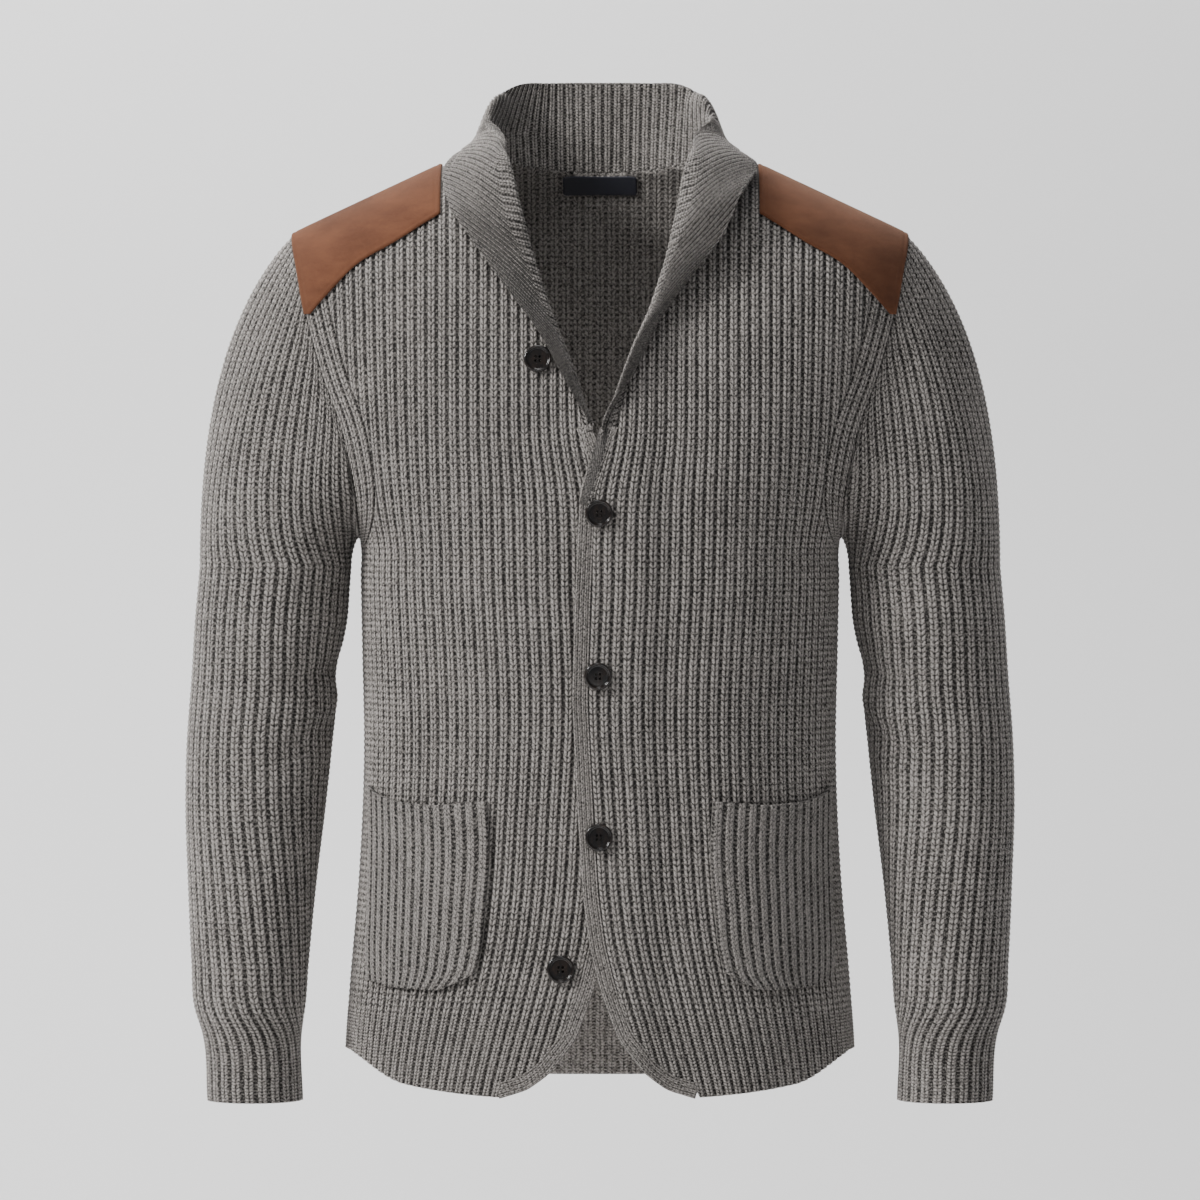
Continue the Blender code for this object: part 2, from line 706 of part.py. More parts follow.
def build_sleeve(side_name, material, front_grid, back_grid):
    side = 1.0 if side_name == "left" else -1.0
    first_z, cuff_z = SLEEVE[0][0], SLEEVE[-1][0]
    turns = np.linspace(0, 0.5, 200)
    top_ring = sleeve_ring(first_z, turns)
    half_girth = lengths_along(top_ring)[-1]
    half_count = 2 * int(round(half_girth / SLEEVE_PITCH))
    step = half_girth / half_count
    count = 2 * half_count
    loop, loop_normals, away = armhole_loop(front_grid, back_grid, count)
    index = np.arange(-half_count, half_count + 1)
    # the loop runs tip, front, underarm, back; the columns run back underarm to front
    order = np.where(index >= 0, index, count + index)
    order[0] = half_count
    loop, loop_normals, away = loop[order], loop_normals[order], away[order]
    heights = np.array([first_z, -0.335, -0.372, -0.400, -0.460, -0.612, -0.632, cuff_z])
    ring_turns, inside, outward, clear = [], [], [], []
    for z in heights:
        turn, half = ring_by_length(z, index * step)
        ring = sleeve_ring(z, turn % 1.0)
        middle = np.array([(smooth(SLEEVE, 1, z) + smooth(SLEEVE, 2, z)) / 2,
                           smooth(SLEEVE, 3, z), z])
        ring_turns.append(turn)
        inside.append(ring)
        outward.append(unit(ring - middle))
        clear.append(np.abs(index * step) < half - 0.3 * step)
    inside, outward, clear = np.array(inside), np.array(outward), np.array(clear)
    lower = np.cos(2 * math.pi * ring_turns[0])
    near_arm = ease((np.abs(index) / half_count - 0.72) / 0.28)
    leave = away * np.array([1.0, 0.15, 1.0])
    leave[:, 2] -= (0.55 + 0.75 * (1 - np.abs(lower))) * (1 - near_arm)
    reach = np.linalg.norm(inside[0] - loop, axis=1)
    leave = unit(leave) * (reach * (1 - near_arm) + 0.055 * near_arm)[:, None]
    arrive = np.array([0.0, 0.0, -1.0]) * (reach * (1 - near_arm) + 0.055 * near_arm)[:, None]
    start = loop + away * SEAM_GAP / 2
    rows, row_normals = [start], [loop_normals]
    fine = []
    shares = np.linspace(0, 1, 4 * CAP_ROWS + 1)
    for t in shares:
        fine.append(start * (1 + 2 * t) * (1 - t) ** 2 + leave * t * (1 - t) ** 2
                    + inside[0] * t * t * (3 - 2 * t) - arrive * t * t * (1 - t))
    fine = np.array(fine)
    down = np.gradient(fine, axis=0)
    around = np.gradient(fine, axis=1)
    around[:, 0] = around[:, -1] = (fine[:, 1] - fine[:, -2]) / 2
    facing = unit(np.cross(around, down))
    facing *= np.sign((facing[-1] * outward[0]).sum())
    for r in range(4, 4 * CAP_ROWS, 4):
        rows.append(fine[r])
        row_normals.append(facing[r])
    base = np.concatenate([np.array(rows), inside])
    normals = np.concatenate([np.array(row_normals), outward])
    crest = rib_relief(len(index), RIB)
    relief = np.broadcast_to(crest, base.shape[:2]).copy()
    relief[len(rows):] *= clear
    relief[0] *= 0.5           # the seam holds the ribs down
    outer = base + normals * (WALL + relief)[..., None]
    outer[:, 0] = outer[:, -1]
    piece = Wall("sleeve_" + side_name, material)
    out = piece.add_rows(mirrored(uneven(outer), side))
    keep = list(range(0, len(index), PLAIN_STEP))
    inner_rows = list(np.array(rows)[:, keep])
    for z, turn in zip(heights, ring_turns):
        share = index[keep] / half_count * 0.5
        inner_rows.append(sleeve_ring(z, share % 1.0) if z < heights[0] else
                          inside[0][keep])
    inner_rows = np.array(inner_rows)
    inner_rows[:, 0] = inner_rows[:, -1]
    inn = piece.add_rows(mirrored(uneven(inner_rows), side))
    piece.sheet(out)
    piece.sheet(inn, flip=True)
    piece.zip_rim(out[0], inn[0], True)
    piece.zip_rim(out[-1], inn[-1], False)
    return piece.build()


# ------------------------------------------------------------------ collar
COLLAR_SHARES = np.array([0.0, 0.22, 0.42, 0.60, 0.80, 1.0])


def bezier(points, shares):
    t = np.asarray(shares)[:, None]
    a, b, c, d = points
    return a * (1 - t) ** 3 + 3 * b * t * (1 - t) ** 2 + 3 * c * t * t * (1 - t) + d * t ** 3


def fold_curve(seam, roll, edge, open_by):
    """A curve from the seam round the roll to the free edge."""
    beyond = roll + (roll - (seam + edge) / 2) / 3
    return bezier((seam, beyond - open_by, beyond + open_by, edge), np.linspace(0, 1, 60))


def stand_section(row):
    seam_x, rx, ry, rz, ex, ey, ez = (v * MM for v in row)
    seam, _ = body_points(seam_x, back_high(seam_x), True)
    if seam_x >= NECK_SIDE_X:
        seam[1] = 0.0
    roll, edge = np.array([rx, ry, rz]), np.array([ex, ey, ez])
    # where the collar begins to fold, the roll is opened sideways
    folded = ease((0.072 - ez) / 0.010)
    lean = unit(edge - roll) * np.array([1.0, 1.0, 0.0]) * STAND_OPEN * folded
    curve = fold_curve(seam, roll, edge, lean)
    return resample(curve, COLLAR_SHARES)


def lapel_section(row, over):
    seam_z, roll_x, roll_z, edge_x, edge_z, edge_lift, roll_lift = row
    rows = np.array(NECKLINE)
    seam_x = np.interp(seam_z, rows[:, 0], rows[:, 1])
    seam = np.array([seam_x, seam_z, 0.0])
    roll = np.array([roll_x, roll_z, roll_lift / 2])
    edge = np.array([edge_x, edge_z, edge_lift])
    curve = fold_curve(seam, roll, edge, np.array([0.0, 0.0, roll_lift / 2]))
    curve[0] = seam
    x, z, lift = curve.T
    points, _ = front_points(x, z, over, np.maximum(lift, 0.0))
    return resample(points, COLLAR_SHARES)


def break_section(front_grid, over):
    """The lapel's end: flat above the edge band, from the front's border to the edge."""
    edge = edge_line(over)
    inner = front_grid[-1, 0]
    outer = edge[np.argmin(np.linalg.norm(edge - inner, axis=1))]
    line = inner + (outer - inner) * COLLAR_SHARES[:, None]
    lift = np.minimum(COLLAR_SHARES / COLLAR_SHARES[1], 1.0) * 1.4 * COLLAR_RIB
    points, _ = front_points(line[:, 0], line[:, 1] + COLLAR_END_GAP, over, lift)
    return points


def collar_sections(side_name, front_grid):
    over = side_name == "left"
    table = LAPEL_LEFT if over else LAPEL_RIGHT
    sections = [stand_section(row) for row in STAND]
    sections += [lapel_section(row, over) for row in table]
    sections.append(break_section(front_grid, over))
    return [mirrored(p, 1.0 if over else -1.0) for p in sections]


def spline_rows(rows, at):
    """Points between rows, by a curve through them; at is in row numbers."""
    rows = np.asarray(rows)
    slopes = np.gradient(rows, axis=0)
    i = np.clip(np.floor(at).astype(int), 0, len(rows) - 2)
    t = (at - i).reshape((-1,) + (1,) * (rows.ndim - 1))
    a, b, da, db = rows[i], rows[i + 1], slopes[i], slopes[i + 1]
    return (a * (1 + 2 * t) * (1 - t) ** 2 + b * t * t * (3 - 2 * t)
            + da * t * (1 - t) ** 2 - db * t * t * (1 - t))


def neck_line(back_grid, front_grid, side):
    """The panels' own neck border from the middle back to the break, with normals."""
    back = back_grid[-1]
    back = back[:np.argmax(back[:, 0] >= NECK_SIDE_X) + 1]
    front = front_grid[-1]
    front = front[:np.argmax(front[:, 0] >= NECK_SIDE_X) + 1][::-1]
    p1, n1 = body_points(back[:, 0], back[:, 1], True)
    p2, n2 = body_points(front[:, 0], front[:, 1], False)
    p2 = p2 + n2 * overlap_lift(front[:, 0], front[:, 1], side > 0)[:, None]
    return np.concatenate([p1, p2]), np.concatenate([n1, n2]), len(p1)


def collar_seam(where, back_grid, front_grids):
    """The collar's first row, on the neck border, and the way its ribbed face looks."""
    middle = len(STAND) + len(LAPEL_RIGHT)
    points, facing = np.zeros((len(where), 3)), np.zeros((len(where), 3))
    for side_name, side in (("right", -1.0), ("left", 1.0)):
        line, normals, split = neck_line(back_grid, front_grids[side_name], side)
        s = lengths_along(line)
        marks = [np.interp(row[0] * MM, line[:split, 0], s[:split]) for row in STAND]
        table = LAPEL_LEFT if side > 0 else LAPEL_RIGHT
        marks += [np.interp(-row[0], -line[split:, 2], s[split:]) for row in table]
        marks.append(s[-1])
        number = (where - middle) * side
        mine = number >= 0 if side > 0 else number > 0
        at = np.interp(number[mine], np.arange(len(marks)), marks)
        seam = np.stack([np.interp(at, s, line[:, k]) for k in range(3)], 1)
        normal = unit(np.stack([np.interp(at, s, normals[:, k]) for k in range(3)], 1))
        step = 1e-4
        ahead = np.stack([np.interp(at + step, s, line[:, k]) for k in range(3)], 1)
        behind = np.stack([np.interp(at - step, s, line[:, k]) for k in range(3)], 1)
        away = unit(np.cross(normal, ahead - behind))
        away *= np.sign(away[np.argmin(np.abs(number[mine])), 2])
        points[mine] = mirrored(seam + away * COLLAR_SEAM_GAP, side)
        facing[mine] = mirrored(-normal, side)
    return points, facing


def build_collar(material, back_grid, front_grids):
    right = collar_sections("right", front_grids["right"])
    left = collar_sections("left", front_grids["left"])
    points = np.array(right[::-1][:-1] + left)
    at = np.linspace(0, len(points) - 1, 600)
    fine = spline_rows(points, at)
    middle = fine[:, len(COLLAR_SHARES) // 2]
    s = lengths_along(middle)
    ribs = int(round(s[-1] / COLLAR_PITCH))
    columns = 2 * ribs + 1
    where = np.interp(np.linspace(0, s[-1], columns), s, at)
    grid = spline_rows(points, where).transpose(1, 0, 2)
    up = np.gradient(grid, axis=0)
    along = np.gradient(grid, axis=1)
    facing = unit(np.cross(up, along))
    facing *= -np.sign(facing[0, columns // 2, 1])
    grid[0], facing[0] = collar_seam(where, back_grid, front_grids)
    relief = np.broadcast_to(rib_relief(columns, COLLAR_RIB), grid.shape[:2]).copy()
    relief[0] = 0.0
    base = grid - facing * COLLAR_WALL
    panel("collar", material, base, facing, COLLAR_WALL, relief, seams=False)


# ------------------------------------------------------------------ patches, pockets, label
def patch_x(share, z):
    """The patch's columns fan from the collar's side to the armhole."""
    arm = smooth(ARMHOLE, 1, z) - PATCH_ARM_GAP
    return PATCH_NECK_X + (arm - PATCH_NECK_X) * share


def build_patch(side_name, material):
    """Suede over the shoulder, from its edge on the front to the same on the back."""
    side = 1.0 if side_name == "left" else -1.0
    lift = WALL + RIB + LAID_GAP
    base, normals = [], []
    for share in np.linspace(0, 1, PATCH_COLUMNS):
        x_at = partial(patch_x, share)
        low = smooth(PATCH_EDGE, 1, x_at(PATCH_MIDDLE_Z))
        heights = row_heights(x_at, low, shoulder_z(x_at(0.0)))
        xs = x_at(heights)
        sides = [body_points(xs, heights, back) for back in (False, True)]
        base.append(np.concatenate([sides[0][0], sides[1][0][::-1][1:]]))
        normals.append(np.concatenate([sides[0][1], sides[1][1][::-1][1:]]))
    base = np.array(base).transpose(1, 0, 2)
    normals = np.array(normals).transpose(1, 0, 2)
    top = len(base) // 2
    base[top, :, 1] = normals[top, :, 1] = 0.0
    normals = unit(normals)
    panel("shoulder_patch_" + side_name, material, base + normals * lift, normals, SUEDE,
          np.zeros(base.shape[:2]), side, False, step=1)


def build_pocket(side_name, material):
    over = side_name == "left"
    side = 1.0 if over else -1.0
    columns = 2 * POCKET_RIBS + 1
    shares = np.linspace(0, 1, columns)
    rows = 4
    mouth, floor = np.array(POCKET_MOUTH), np.array(POCKET_FLOOR)
    lift = WALL + RIB + LAID_GAP
    base = np.zeros((rows, columns, 3))
    normals = np.zeros((rows, columns, 3))
    for k, share in enumerate(shares):
        top = np.interp(share, mouth[:, 0], mouth[:, 1])
        low = np.interp(share, floor[:, 0], floor[:, 1])
        for r, z in enumerate(np.linspace(low, top, rows)):
            inner, outer = smooth(POCKET, 1, z), smooth(POCKET, 2, z)
            half = smooth(BODY, 1, z)
            angles = np.linspace(math.asin(inner / half), math.asin(outer / half), 40)
            xs = half * np.sin(angles)
            line, _ = body_points(xs, np.full(40, z), False)
            s = lengths_along(line)
            x = np.interp(share * s[-1], s, xs)
            base[r, k], normals[r, k] = faceted_point(x, z, False, False, lift)
    relief = np.broadcast_to(rib_relief(columns, POCKET_RIB), (rows, columns)).copy()
    relief[-1] *= 0.4
    panel("pocket_" + side_name, material, base, normals, WALL, relief, side, False, step=2)


def build_label(material):
    """A plain tab on the inside of the back, under the neck seam."""
    columns, rows = 9, 3
    base = np.zeros((rows, columns, 3))
    normals = np.zeros((rows, columns, 3))
    for k, x in enumerate(np.linspace(-LABEL_HALF, LABEL_HALF, columns)):
        for r, z in enumerate(np.linspace(LABEL_LOW, LABEL_TOP, rows)):
            lift = -LABEL_GAP - LABEL_WALL
            base[r, k], normals[r, k] = faceted_point(x, z, True, False, lift)
    panel("neck_label", material, base, normals, LABEL_WALL, np.zeros((rows, columns)),
          seams=False)


# ------------------------------------------------------------------ buttons
def build_button(name, front, world_x, z, material):
    """A turned disc with a rim and a sunken middle with four holes."""
    over = front == "left"
    side = 1.0 if over else -1.0
    own_x = world_x * side
    p, n = faceted_point(own_x, z, False, over, WALL + RIB + LAID_GAP)
    place, normal = mirrored(p, side), mirrored(n, side)
    piece = Wall(name, material, 30.0)
    rings = []
    for share, height in BUTTON_PROFILE:
        ring = []
        for k in range(BUTTON_SIDES):
            a = 2 * math.pi * k / BUTTON_SIDES
            ring.append(piece.add((BUTTON_RADIUS * share * math.cos(a),
                                   BUTTON_RADIUS * share * math.sin(a),
                                   BUTTON_HEIGHT * height)))
        rings.append(ring + ring[:1])
    piece.sheet(rings)
    piece.face(rings[0][:-1][::-1])
    piece.face(rings[-1][:-1])
    item = piece.build()
    for k in range(4):
        a = math.radians(45 + 90 * k)
        hole = Wall(name + "_hole_%d" % k, material)
        lower, upper = [], []
        for j in range(HOLE_SIDES):
            b = 2 * math.pi * j / HOLE_SIDES
            spot = (HOLE_OUT * math.cos(a) + HOLE_RADIUS * math.cos(b),
                    HOLE_OUT * math.sin(a) + HOLE_RADIUS * math.sin(b))
            lower.append(hole.add((*spot, -BUTTON_HEIGHT)))
            upper.append(hole.add((*spot, 2 * BUTTON_HEIGHT)))
        hole.sheet([lower + lower[:1], upper + upper[:1]])
        hole.face(lower[::-1])
        hole.face(upper)
        cutter = hole.build(False)
        cutter.hide_render = True
        cutter.display_type = "WIRE"
        cutter.parent = item
        cut = item.modifiers.new("hole_%d" % k, "BOOLEAN")
        cut.operation = "DIFFERENCE"
        cut.solver = "EXACT"
        cut.object = cutter
    z_axis = unit(normal)
    x_axis = unit(np.cross([0.0, 0.0, 1.0], z_axis))
    y_axis = np.cross(z_axis, x_axis)
    item.matrix_world = Matrix(
        [[x_axis[i], y_axis[i], z_axis[i], place[i]] for i in range(3)] + [[0, 0, 0, 1]])
    return item


# ------------------------------------------------------------------ materials and build
def make_material(name, colour, roughness):
    material = bpy.data.materials.new(name)
    material.use_nodes = True
    shader = material.node_tree.nodes["Principled BSDF"]
    shader.inputs["Base Color"].default_value = colour
    shader.inputs["Roughness"].default_value = roughness
    shader.inputs["Metallic"].default_value = 0.0
    material.diffuse_color = colour
    return material


def main():
    for item in list(bpy.data.objects):
        bpy.data.objects.remove(item, do_unlink=True)
    knit = make_material("ribbed_wool", KNIT_GREY, 0.95)
    suede = make_material("brown_suede", SUEDE_BROWN, 0.90)
    satin = make_material("dark_label", LABEL_NAVY, 0.60)
    horn = make_material("dark_horn", HORN_BROWN, 0.25)
    back_grid = build_back(knit)
    front_grids = {}
    for side_name in ("right", "left"):
        grid = front_grids[side_name] = build_front(side_name, knit)
        build_band(side_name, knit, grid)
        build_sleeve(side_name, knit, grid, back_grid)
        build_pocket(side_name, knit)
        build_patch(side_name, suede)
    build_collar(knit, back_grid, front_grids)
    build_label(satin)
    for name, front, x, z in BUTTONS:
        build_button(name, front, x, z, horn)


main()
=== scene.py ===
# %% [markdown]
# # A ribbed knit blazer, filled out as if worn
#
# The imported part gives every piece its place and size. This lesson dresses each of them:
# knitted panels with real stitches in relief, suede patches, turned buttons and a blank
# label, then a soft studio light and a camera straight in front.

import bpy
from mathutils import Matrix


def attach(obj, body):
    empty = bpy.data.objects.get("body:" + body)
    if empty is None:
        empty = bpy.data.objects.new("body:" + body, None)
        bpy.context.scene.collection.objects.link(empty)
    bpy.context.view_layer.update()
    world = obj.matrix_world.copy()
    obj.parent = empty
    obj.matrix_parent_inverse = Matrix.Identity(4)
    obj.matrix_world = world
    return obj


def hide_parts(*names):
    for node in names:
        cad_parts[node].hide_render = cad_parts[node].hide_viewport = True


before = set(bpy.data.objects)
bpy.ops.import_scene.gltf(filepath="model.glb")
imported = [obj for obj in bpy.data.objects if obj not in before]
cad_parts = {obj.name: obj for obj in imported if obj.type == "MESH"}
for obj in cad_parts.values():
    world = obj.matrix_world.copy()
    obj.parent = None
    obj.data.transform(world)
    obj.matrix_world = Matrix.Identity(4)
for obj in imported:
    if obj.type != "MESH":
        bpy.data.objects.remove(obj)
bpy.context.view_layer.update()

import math

import bpy
import numpy as np

MM = 0.001

# %% [markdown]
# ## Camera, floor and light
#
# The picture is taken from straight in front with a long lens, so that the sleeves and the
# body keep their proportions. The light is one broad soft source from the upper left and a
# weak one from the right. The floor is a pale sweep that curves up behind the garment, as
# in a product studio: one sheet of paper has no corner that could show.

# %% Camera
CAMERA_BACK = 4.5
CAMERA_HEIGHT = -0.317
LENS_MM = 182.4
camera = bpy.data.objects.new("camera", bpy.data.cameras.new("camera"))
bpy.context.scene.collection.objects.link(camera)
camera.location = (0.0, -CAMERA_BACK, CAMERA_HEIGHT)
camera.rotation_euler = (math.radians(90), 0.0, 0.0)
camera.data.lens = LENS_MM
camera.data.sensor_width = 36.0
bpy.context.scene.camera = camera

# %% Floor and backdrop in one sweep
FLOOR_Z = -1.25
SWEEP_START, SWEEP_RADIUS, SWEEP_TOP = 0.9, 1.2, 3.2


def sweep_profile():
    """Points of the paper's side view: flat floor, quarter turn and upright wall."""
    turn = np.linspace(0, math.pi / 2, 24)
    curve = [(SWEEP_START + SWEEP_RADIUS * math.sin(a),
              FLOOR_Z + SWEEP_RADIUS * (1 - math.cos(a))) for a in turn]
    return [(-7.0, FLOOR_Z)] + curve + [(SWEEP_START + SWEEP_RADIUS, SWEEP_TOP)]


profile = sweep_profile()
paper_vertices = [(x, y, z) for x in (-6.0, 6.0) for y, z in profile]
paper_faces = [(k, k + len(profile), k + 1 + len(profile), k + 1)
               for k in range(len(profile) - 1)]
paper_mesh = bpy.data.meshes.new("paper_sweep")
paper_mesh.from_pydata(paper_vertices, [], paper_faces)
paper_mesh.shade_smooth()
paper = bpy.data.objects.new("paper_sweep", paper_mesh)
bpy.context.scene.collection.objects.link(paper)

paper_finish = bpy.data.materials.new("pale_paper")
paper_finish.use_nodes = True
paper_nodes, paper_links = paper_finish.node_tree.nodes, paper_finish.node_tree.links
paper_shader = paper_nodes["Principled BSDF"]
paper_shader.inputs["Base Color"].default_value = (0.79, 0.785, 0.78, 1.0)
paper_shader.inputs["Roughness"].default_value = 0.9
# the sheet's rear is clear, so that it never hides the garment's back
one_sided = paper_nodes.new("ShaderNodeMixShader")
sheet_side = paper_nodes.new("ShaderNodeNewGeometry")
clear = paper_nodes.new("ShaderNodeBsdfTransparent")
paper_links.new(sheet_side.outputs["Backfacing"], one_sided.inputs["Fac"])
paper_links.new(paper_shader.outputs["BSDF"], one_sided.inputs[1])
paper_links.new(clear.outputs["BSDF"], one_sided.inputs[2])
paper_links.new(one_sided.outputs["Shader"], paper_nodes["Material Output"].inputs["Surface"])
paper_mesh.materials.append(paper_finish)


# %% Lights
def soft_light(name, place, aim, width, watts):
    """A square white area light at a place, turned to the point that it lights."""
    data = bpy.data.lights.new(name, "AREA")
    data.energy, data.size = watts, width
    lamp = bpy.data.objects.new(name, data)
    bpy.context.scene.collection.objects.link(lamp)
    lamp.location = place
    offset = np.array(aim, float) - np.array(place, float)
    lamp.rotation_euler = (math.atan2(math.hypot(offset[0], offset[1]), -offset[2]), 0.0,
                           math.atan2(offset[1], offset[0]) - math.pi / 2)
    return lamp


soft_light("key_upper_left", (-3.2, -2.1, 1.9), (0.0, 0.0, -0.25), 1.1, 205.0)
soft_light("top_front", (-0.3, -1.9, 2.6), (0.0, 0.0, -0.1), 1.0, 30.0)
soft_light("fill_right", (2.6, -2.6, 0.1), (0.0, 0.0, -0.4), 2.2, 4.0)
soft_light("backdrop_wash", (-0.9, 0.9, 2.2), (-0.5, 2.4, -0.2), 2.0, 120.0)
world = bpy.data.worlds.new("studio_air")
bpy.context.scene.world = world
world.use_nodes = True
world.node_tree.nodes["Background"].inputs["Color"].default_value = (0.9, 0.93, 1.0, 1.0)
world.node_tree.nodes["Background"].inputs["Strength"].default_value = 0.26

# %% [markdown]
# ## Writing patterns as sums
#
# Wool, suede, satin and horn are painted by node trees. A tree of many Math nodes is easier to
# read as a sum, so a small helper adds the nodes and wires them from an ordinary expression.
# Patterns follow the cloth because they read the piece's own UV map, which counts ribs across and
# stitches up.


# %% A helper that writes node sums
class Sum:
    """A number in a node tree, which adds a Math node for each sum made with it."""

    def __init__(self, tree, value):
        self.tree, self.value = tree, value

    def make(self, operation, *others, clamp=False):
        node = self.tree.nodes.new("ShaderNodeMath")
        node.operation, node.use_clamp = operation, clamp
        for socket, item in zip(node.inputs, (self,) + others):
            plain = item.value if isinstance(item, Sum) else item
            if isinstance(plain, (int, float)):
                socket.default_value = plain
            else:
                self.tree.links.new(plain, socket)
        return Sum(self.tree, node.outputs[0])

    def __add__(self, other):
        return self.make("ADD", other)

    def __sub__(self, other):
        return self.make("SUBTRACT", other)

    def __mul__(self, other):
        return self.make("MULTIPLY", other)

    __radd__, __rmul__ = __add__, __mul__

    def __rsub__(self, other):
        return Sum(self.tree, other).make("SUBTRACT", self)

    def fraction(self):
        return self.make("FRACT")

    def size(self):
        return self.make("ABSOLUTE")

    def wave(self):
        return (self * (2 * math.pi)).make("COSINE")

    def power(self, other):
        return self.make("POWER", other)

    def step(self, low, high):
        """0 at low and 1 at high, softly; low may be the larger one."""
        if low > high:
            return 1.0 - self.step(high, low)
        node = self.tree.nodes.new("ShaderNodeMapRange")
        node.interpolation_type = "SMOOTHSTEP"
        node.inputs["From Min"].default_value = low
        node.inputs["From Max"].default_value = high
        self.tree.links.new(self.value, node.inputs["Value"])
        return Sum(self.tree, node.outputs["Result"])


def new_finish(name, roughness, sheen=0.0, sheen_tint=(1.0, 1.0, 1.0, 1.0), specular=0.3):
    material = bpy.data.materials.new(name)
    material.use_nodes = True
    tree = material.node_tree
    shader = tree.nodes["Principled BSDF"]
    shader.inputs["Roughness"].default_value = roughness
    shader.inputs["Specular IOR Level"].default_value = specular
    shader.inputs["Sheen Weight"].default_value = sheen
    shader.inputs["Sheen Roughness"].default_value = 0.5
    shader.inputs["Sheen Tint"].default_value = sheen_tint
    return material, tree, shader


def uv_numbers(tree):
    node = tree.nodes.new("ShaderNodeUVMap")
    split = tree.nodes.new("ShaderNodeSeparateXYZ")
    tree.links.new(node.outputs["UV"], split.inputs[0])
    return Sum(tree, split.outputs["X"]), Sum(tree, split.outputs["Y"])


def noise(tree, scale, detail=2.0, roughness=0.5, stretch=(1, 1, 1)):
    """A noise value about 0.5; scale counts its lumps in a metre."""
    place = tree.nodes.new("ShaderNodeTexCoord")
    mapping = tree.nodes.new("ShaderNodeMapping")
    mapping.inputs["Scale"].default_value = stretch
    node = tree.nodes.new("ShaderNodeTexNoise")
    node.inputs["Scale"].default_value = scale
    node.inputs["Detail"].default_value = detail
    node.inputs["Roughness"].default_value = roughness
    tree.links.new(place.outputs["Object"], mapping.inputs["Vector"])
    tree.links.new(mapping.outputs["Vector"], node.inputs["Vector"])
    return Sum(tree, node.outputs["Fac"])


def blend_colours(tree, share, low, high):
    """A colour between two, by a share from 0 to 1."""
    node = tree.nodes.new("ShaderNodeMix")
    node.data_type = "RGBA"
    tree.links.new(share.value, node.inputs["Factor"])
    for socket, colour in ((node.inputs["A"], low), (node.inputs["B"], high)):
        if isinstance(colour, tuple):
            socket.default_value = colour
        else:
            tree.links.new(colour, socket)
    return node.outputs["Result"]


def raise_surface(tree, shader, height, distance):
    """Bump: height from 0 to 1, standing so many metres high."""
    node = tree.nodes.new("ShaderNodeBump")
    node.inputs["Strength"].default_value = 1.0
    node.inputs["Distance"].default_value = distance
    tree.links.new(height.value, node.inputs["Height"])
    tree.links.new(node.outputs["Normal"], shader.inputs["Normal"])


# %% [markdown]
# ## The knit
#
# The blazer is knitted in a one by one rib: a column of V stitches stands up, and between two of
# them lies a sunken column of purl bumps in shadow. The same few sums are used twice. In numpy
# they lift the mesh, so that ribs and stitches cast true shadows and scallop the edges; in the
# material they draw the finer yarn, which no mesh could hold, and paint shade into the purl
# columns and the V's outlines, darker where the knit sinks.

# %% The stitch, as numbers
SLANT = 0.80              # a V's arms rise by so many stitches from its middle to the rib's edge
RIB_HALF = 0.40           # half the width of the standing column, in ribs
RIB_ROLL = 0.16           # over which it rolls into the purl column
VALLEY = 0.10             # half the width of the line down the middle of a column of Vs


def ease(value):
    t = np.clip(value, 0.0, 1.0)
    return t * t * (3 - 2 * t)


def stitch_relief(u, v):
    """Height of the knit, 0 in a purl column and 1 on a stitch; u in ribs, v in stitches."""
    off = np.abs(u - np.floor(u) - 0.5)
    rib = ease((RIB_HALF - off) / RIB_ROLL)
    along = v - SLANT * 2 * off
    grain = 1 - np.abs(2 * (along - np.floor(along)) - 1) ** 2
    arms = 1 - 0.45 * np.exp(-(off / VALLEY) ** 2)
    purl = 0.5 - 0.5 * np.cos(2 * math.pi * v)
    return rib * arms * (0.66 + 0.34 * grain) + (1 - rib) * 0.10 * purl


# %% The wool, as a material
WOOL_LIGHT = (0.420, 0.388, 0.360, 1.0)
WOOL_MIDDLE = (0.150, 0.138, 0.127, 1.0)
# the darkest colour is painted shade in the purl columns and the V's outlines, and also the
# yarn's darkest flecks
WOOL_DARK_AND_PAINTED_SHADE = (0.015, 0.0135, 0.0125, 1.0)


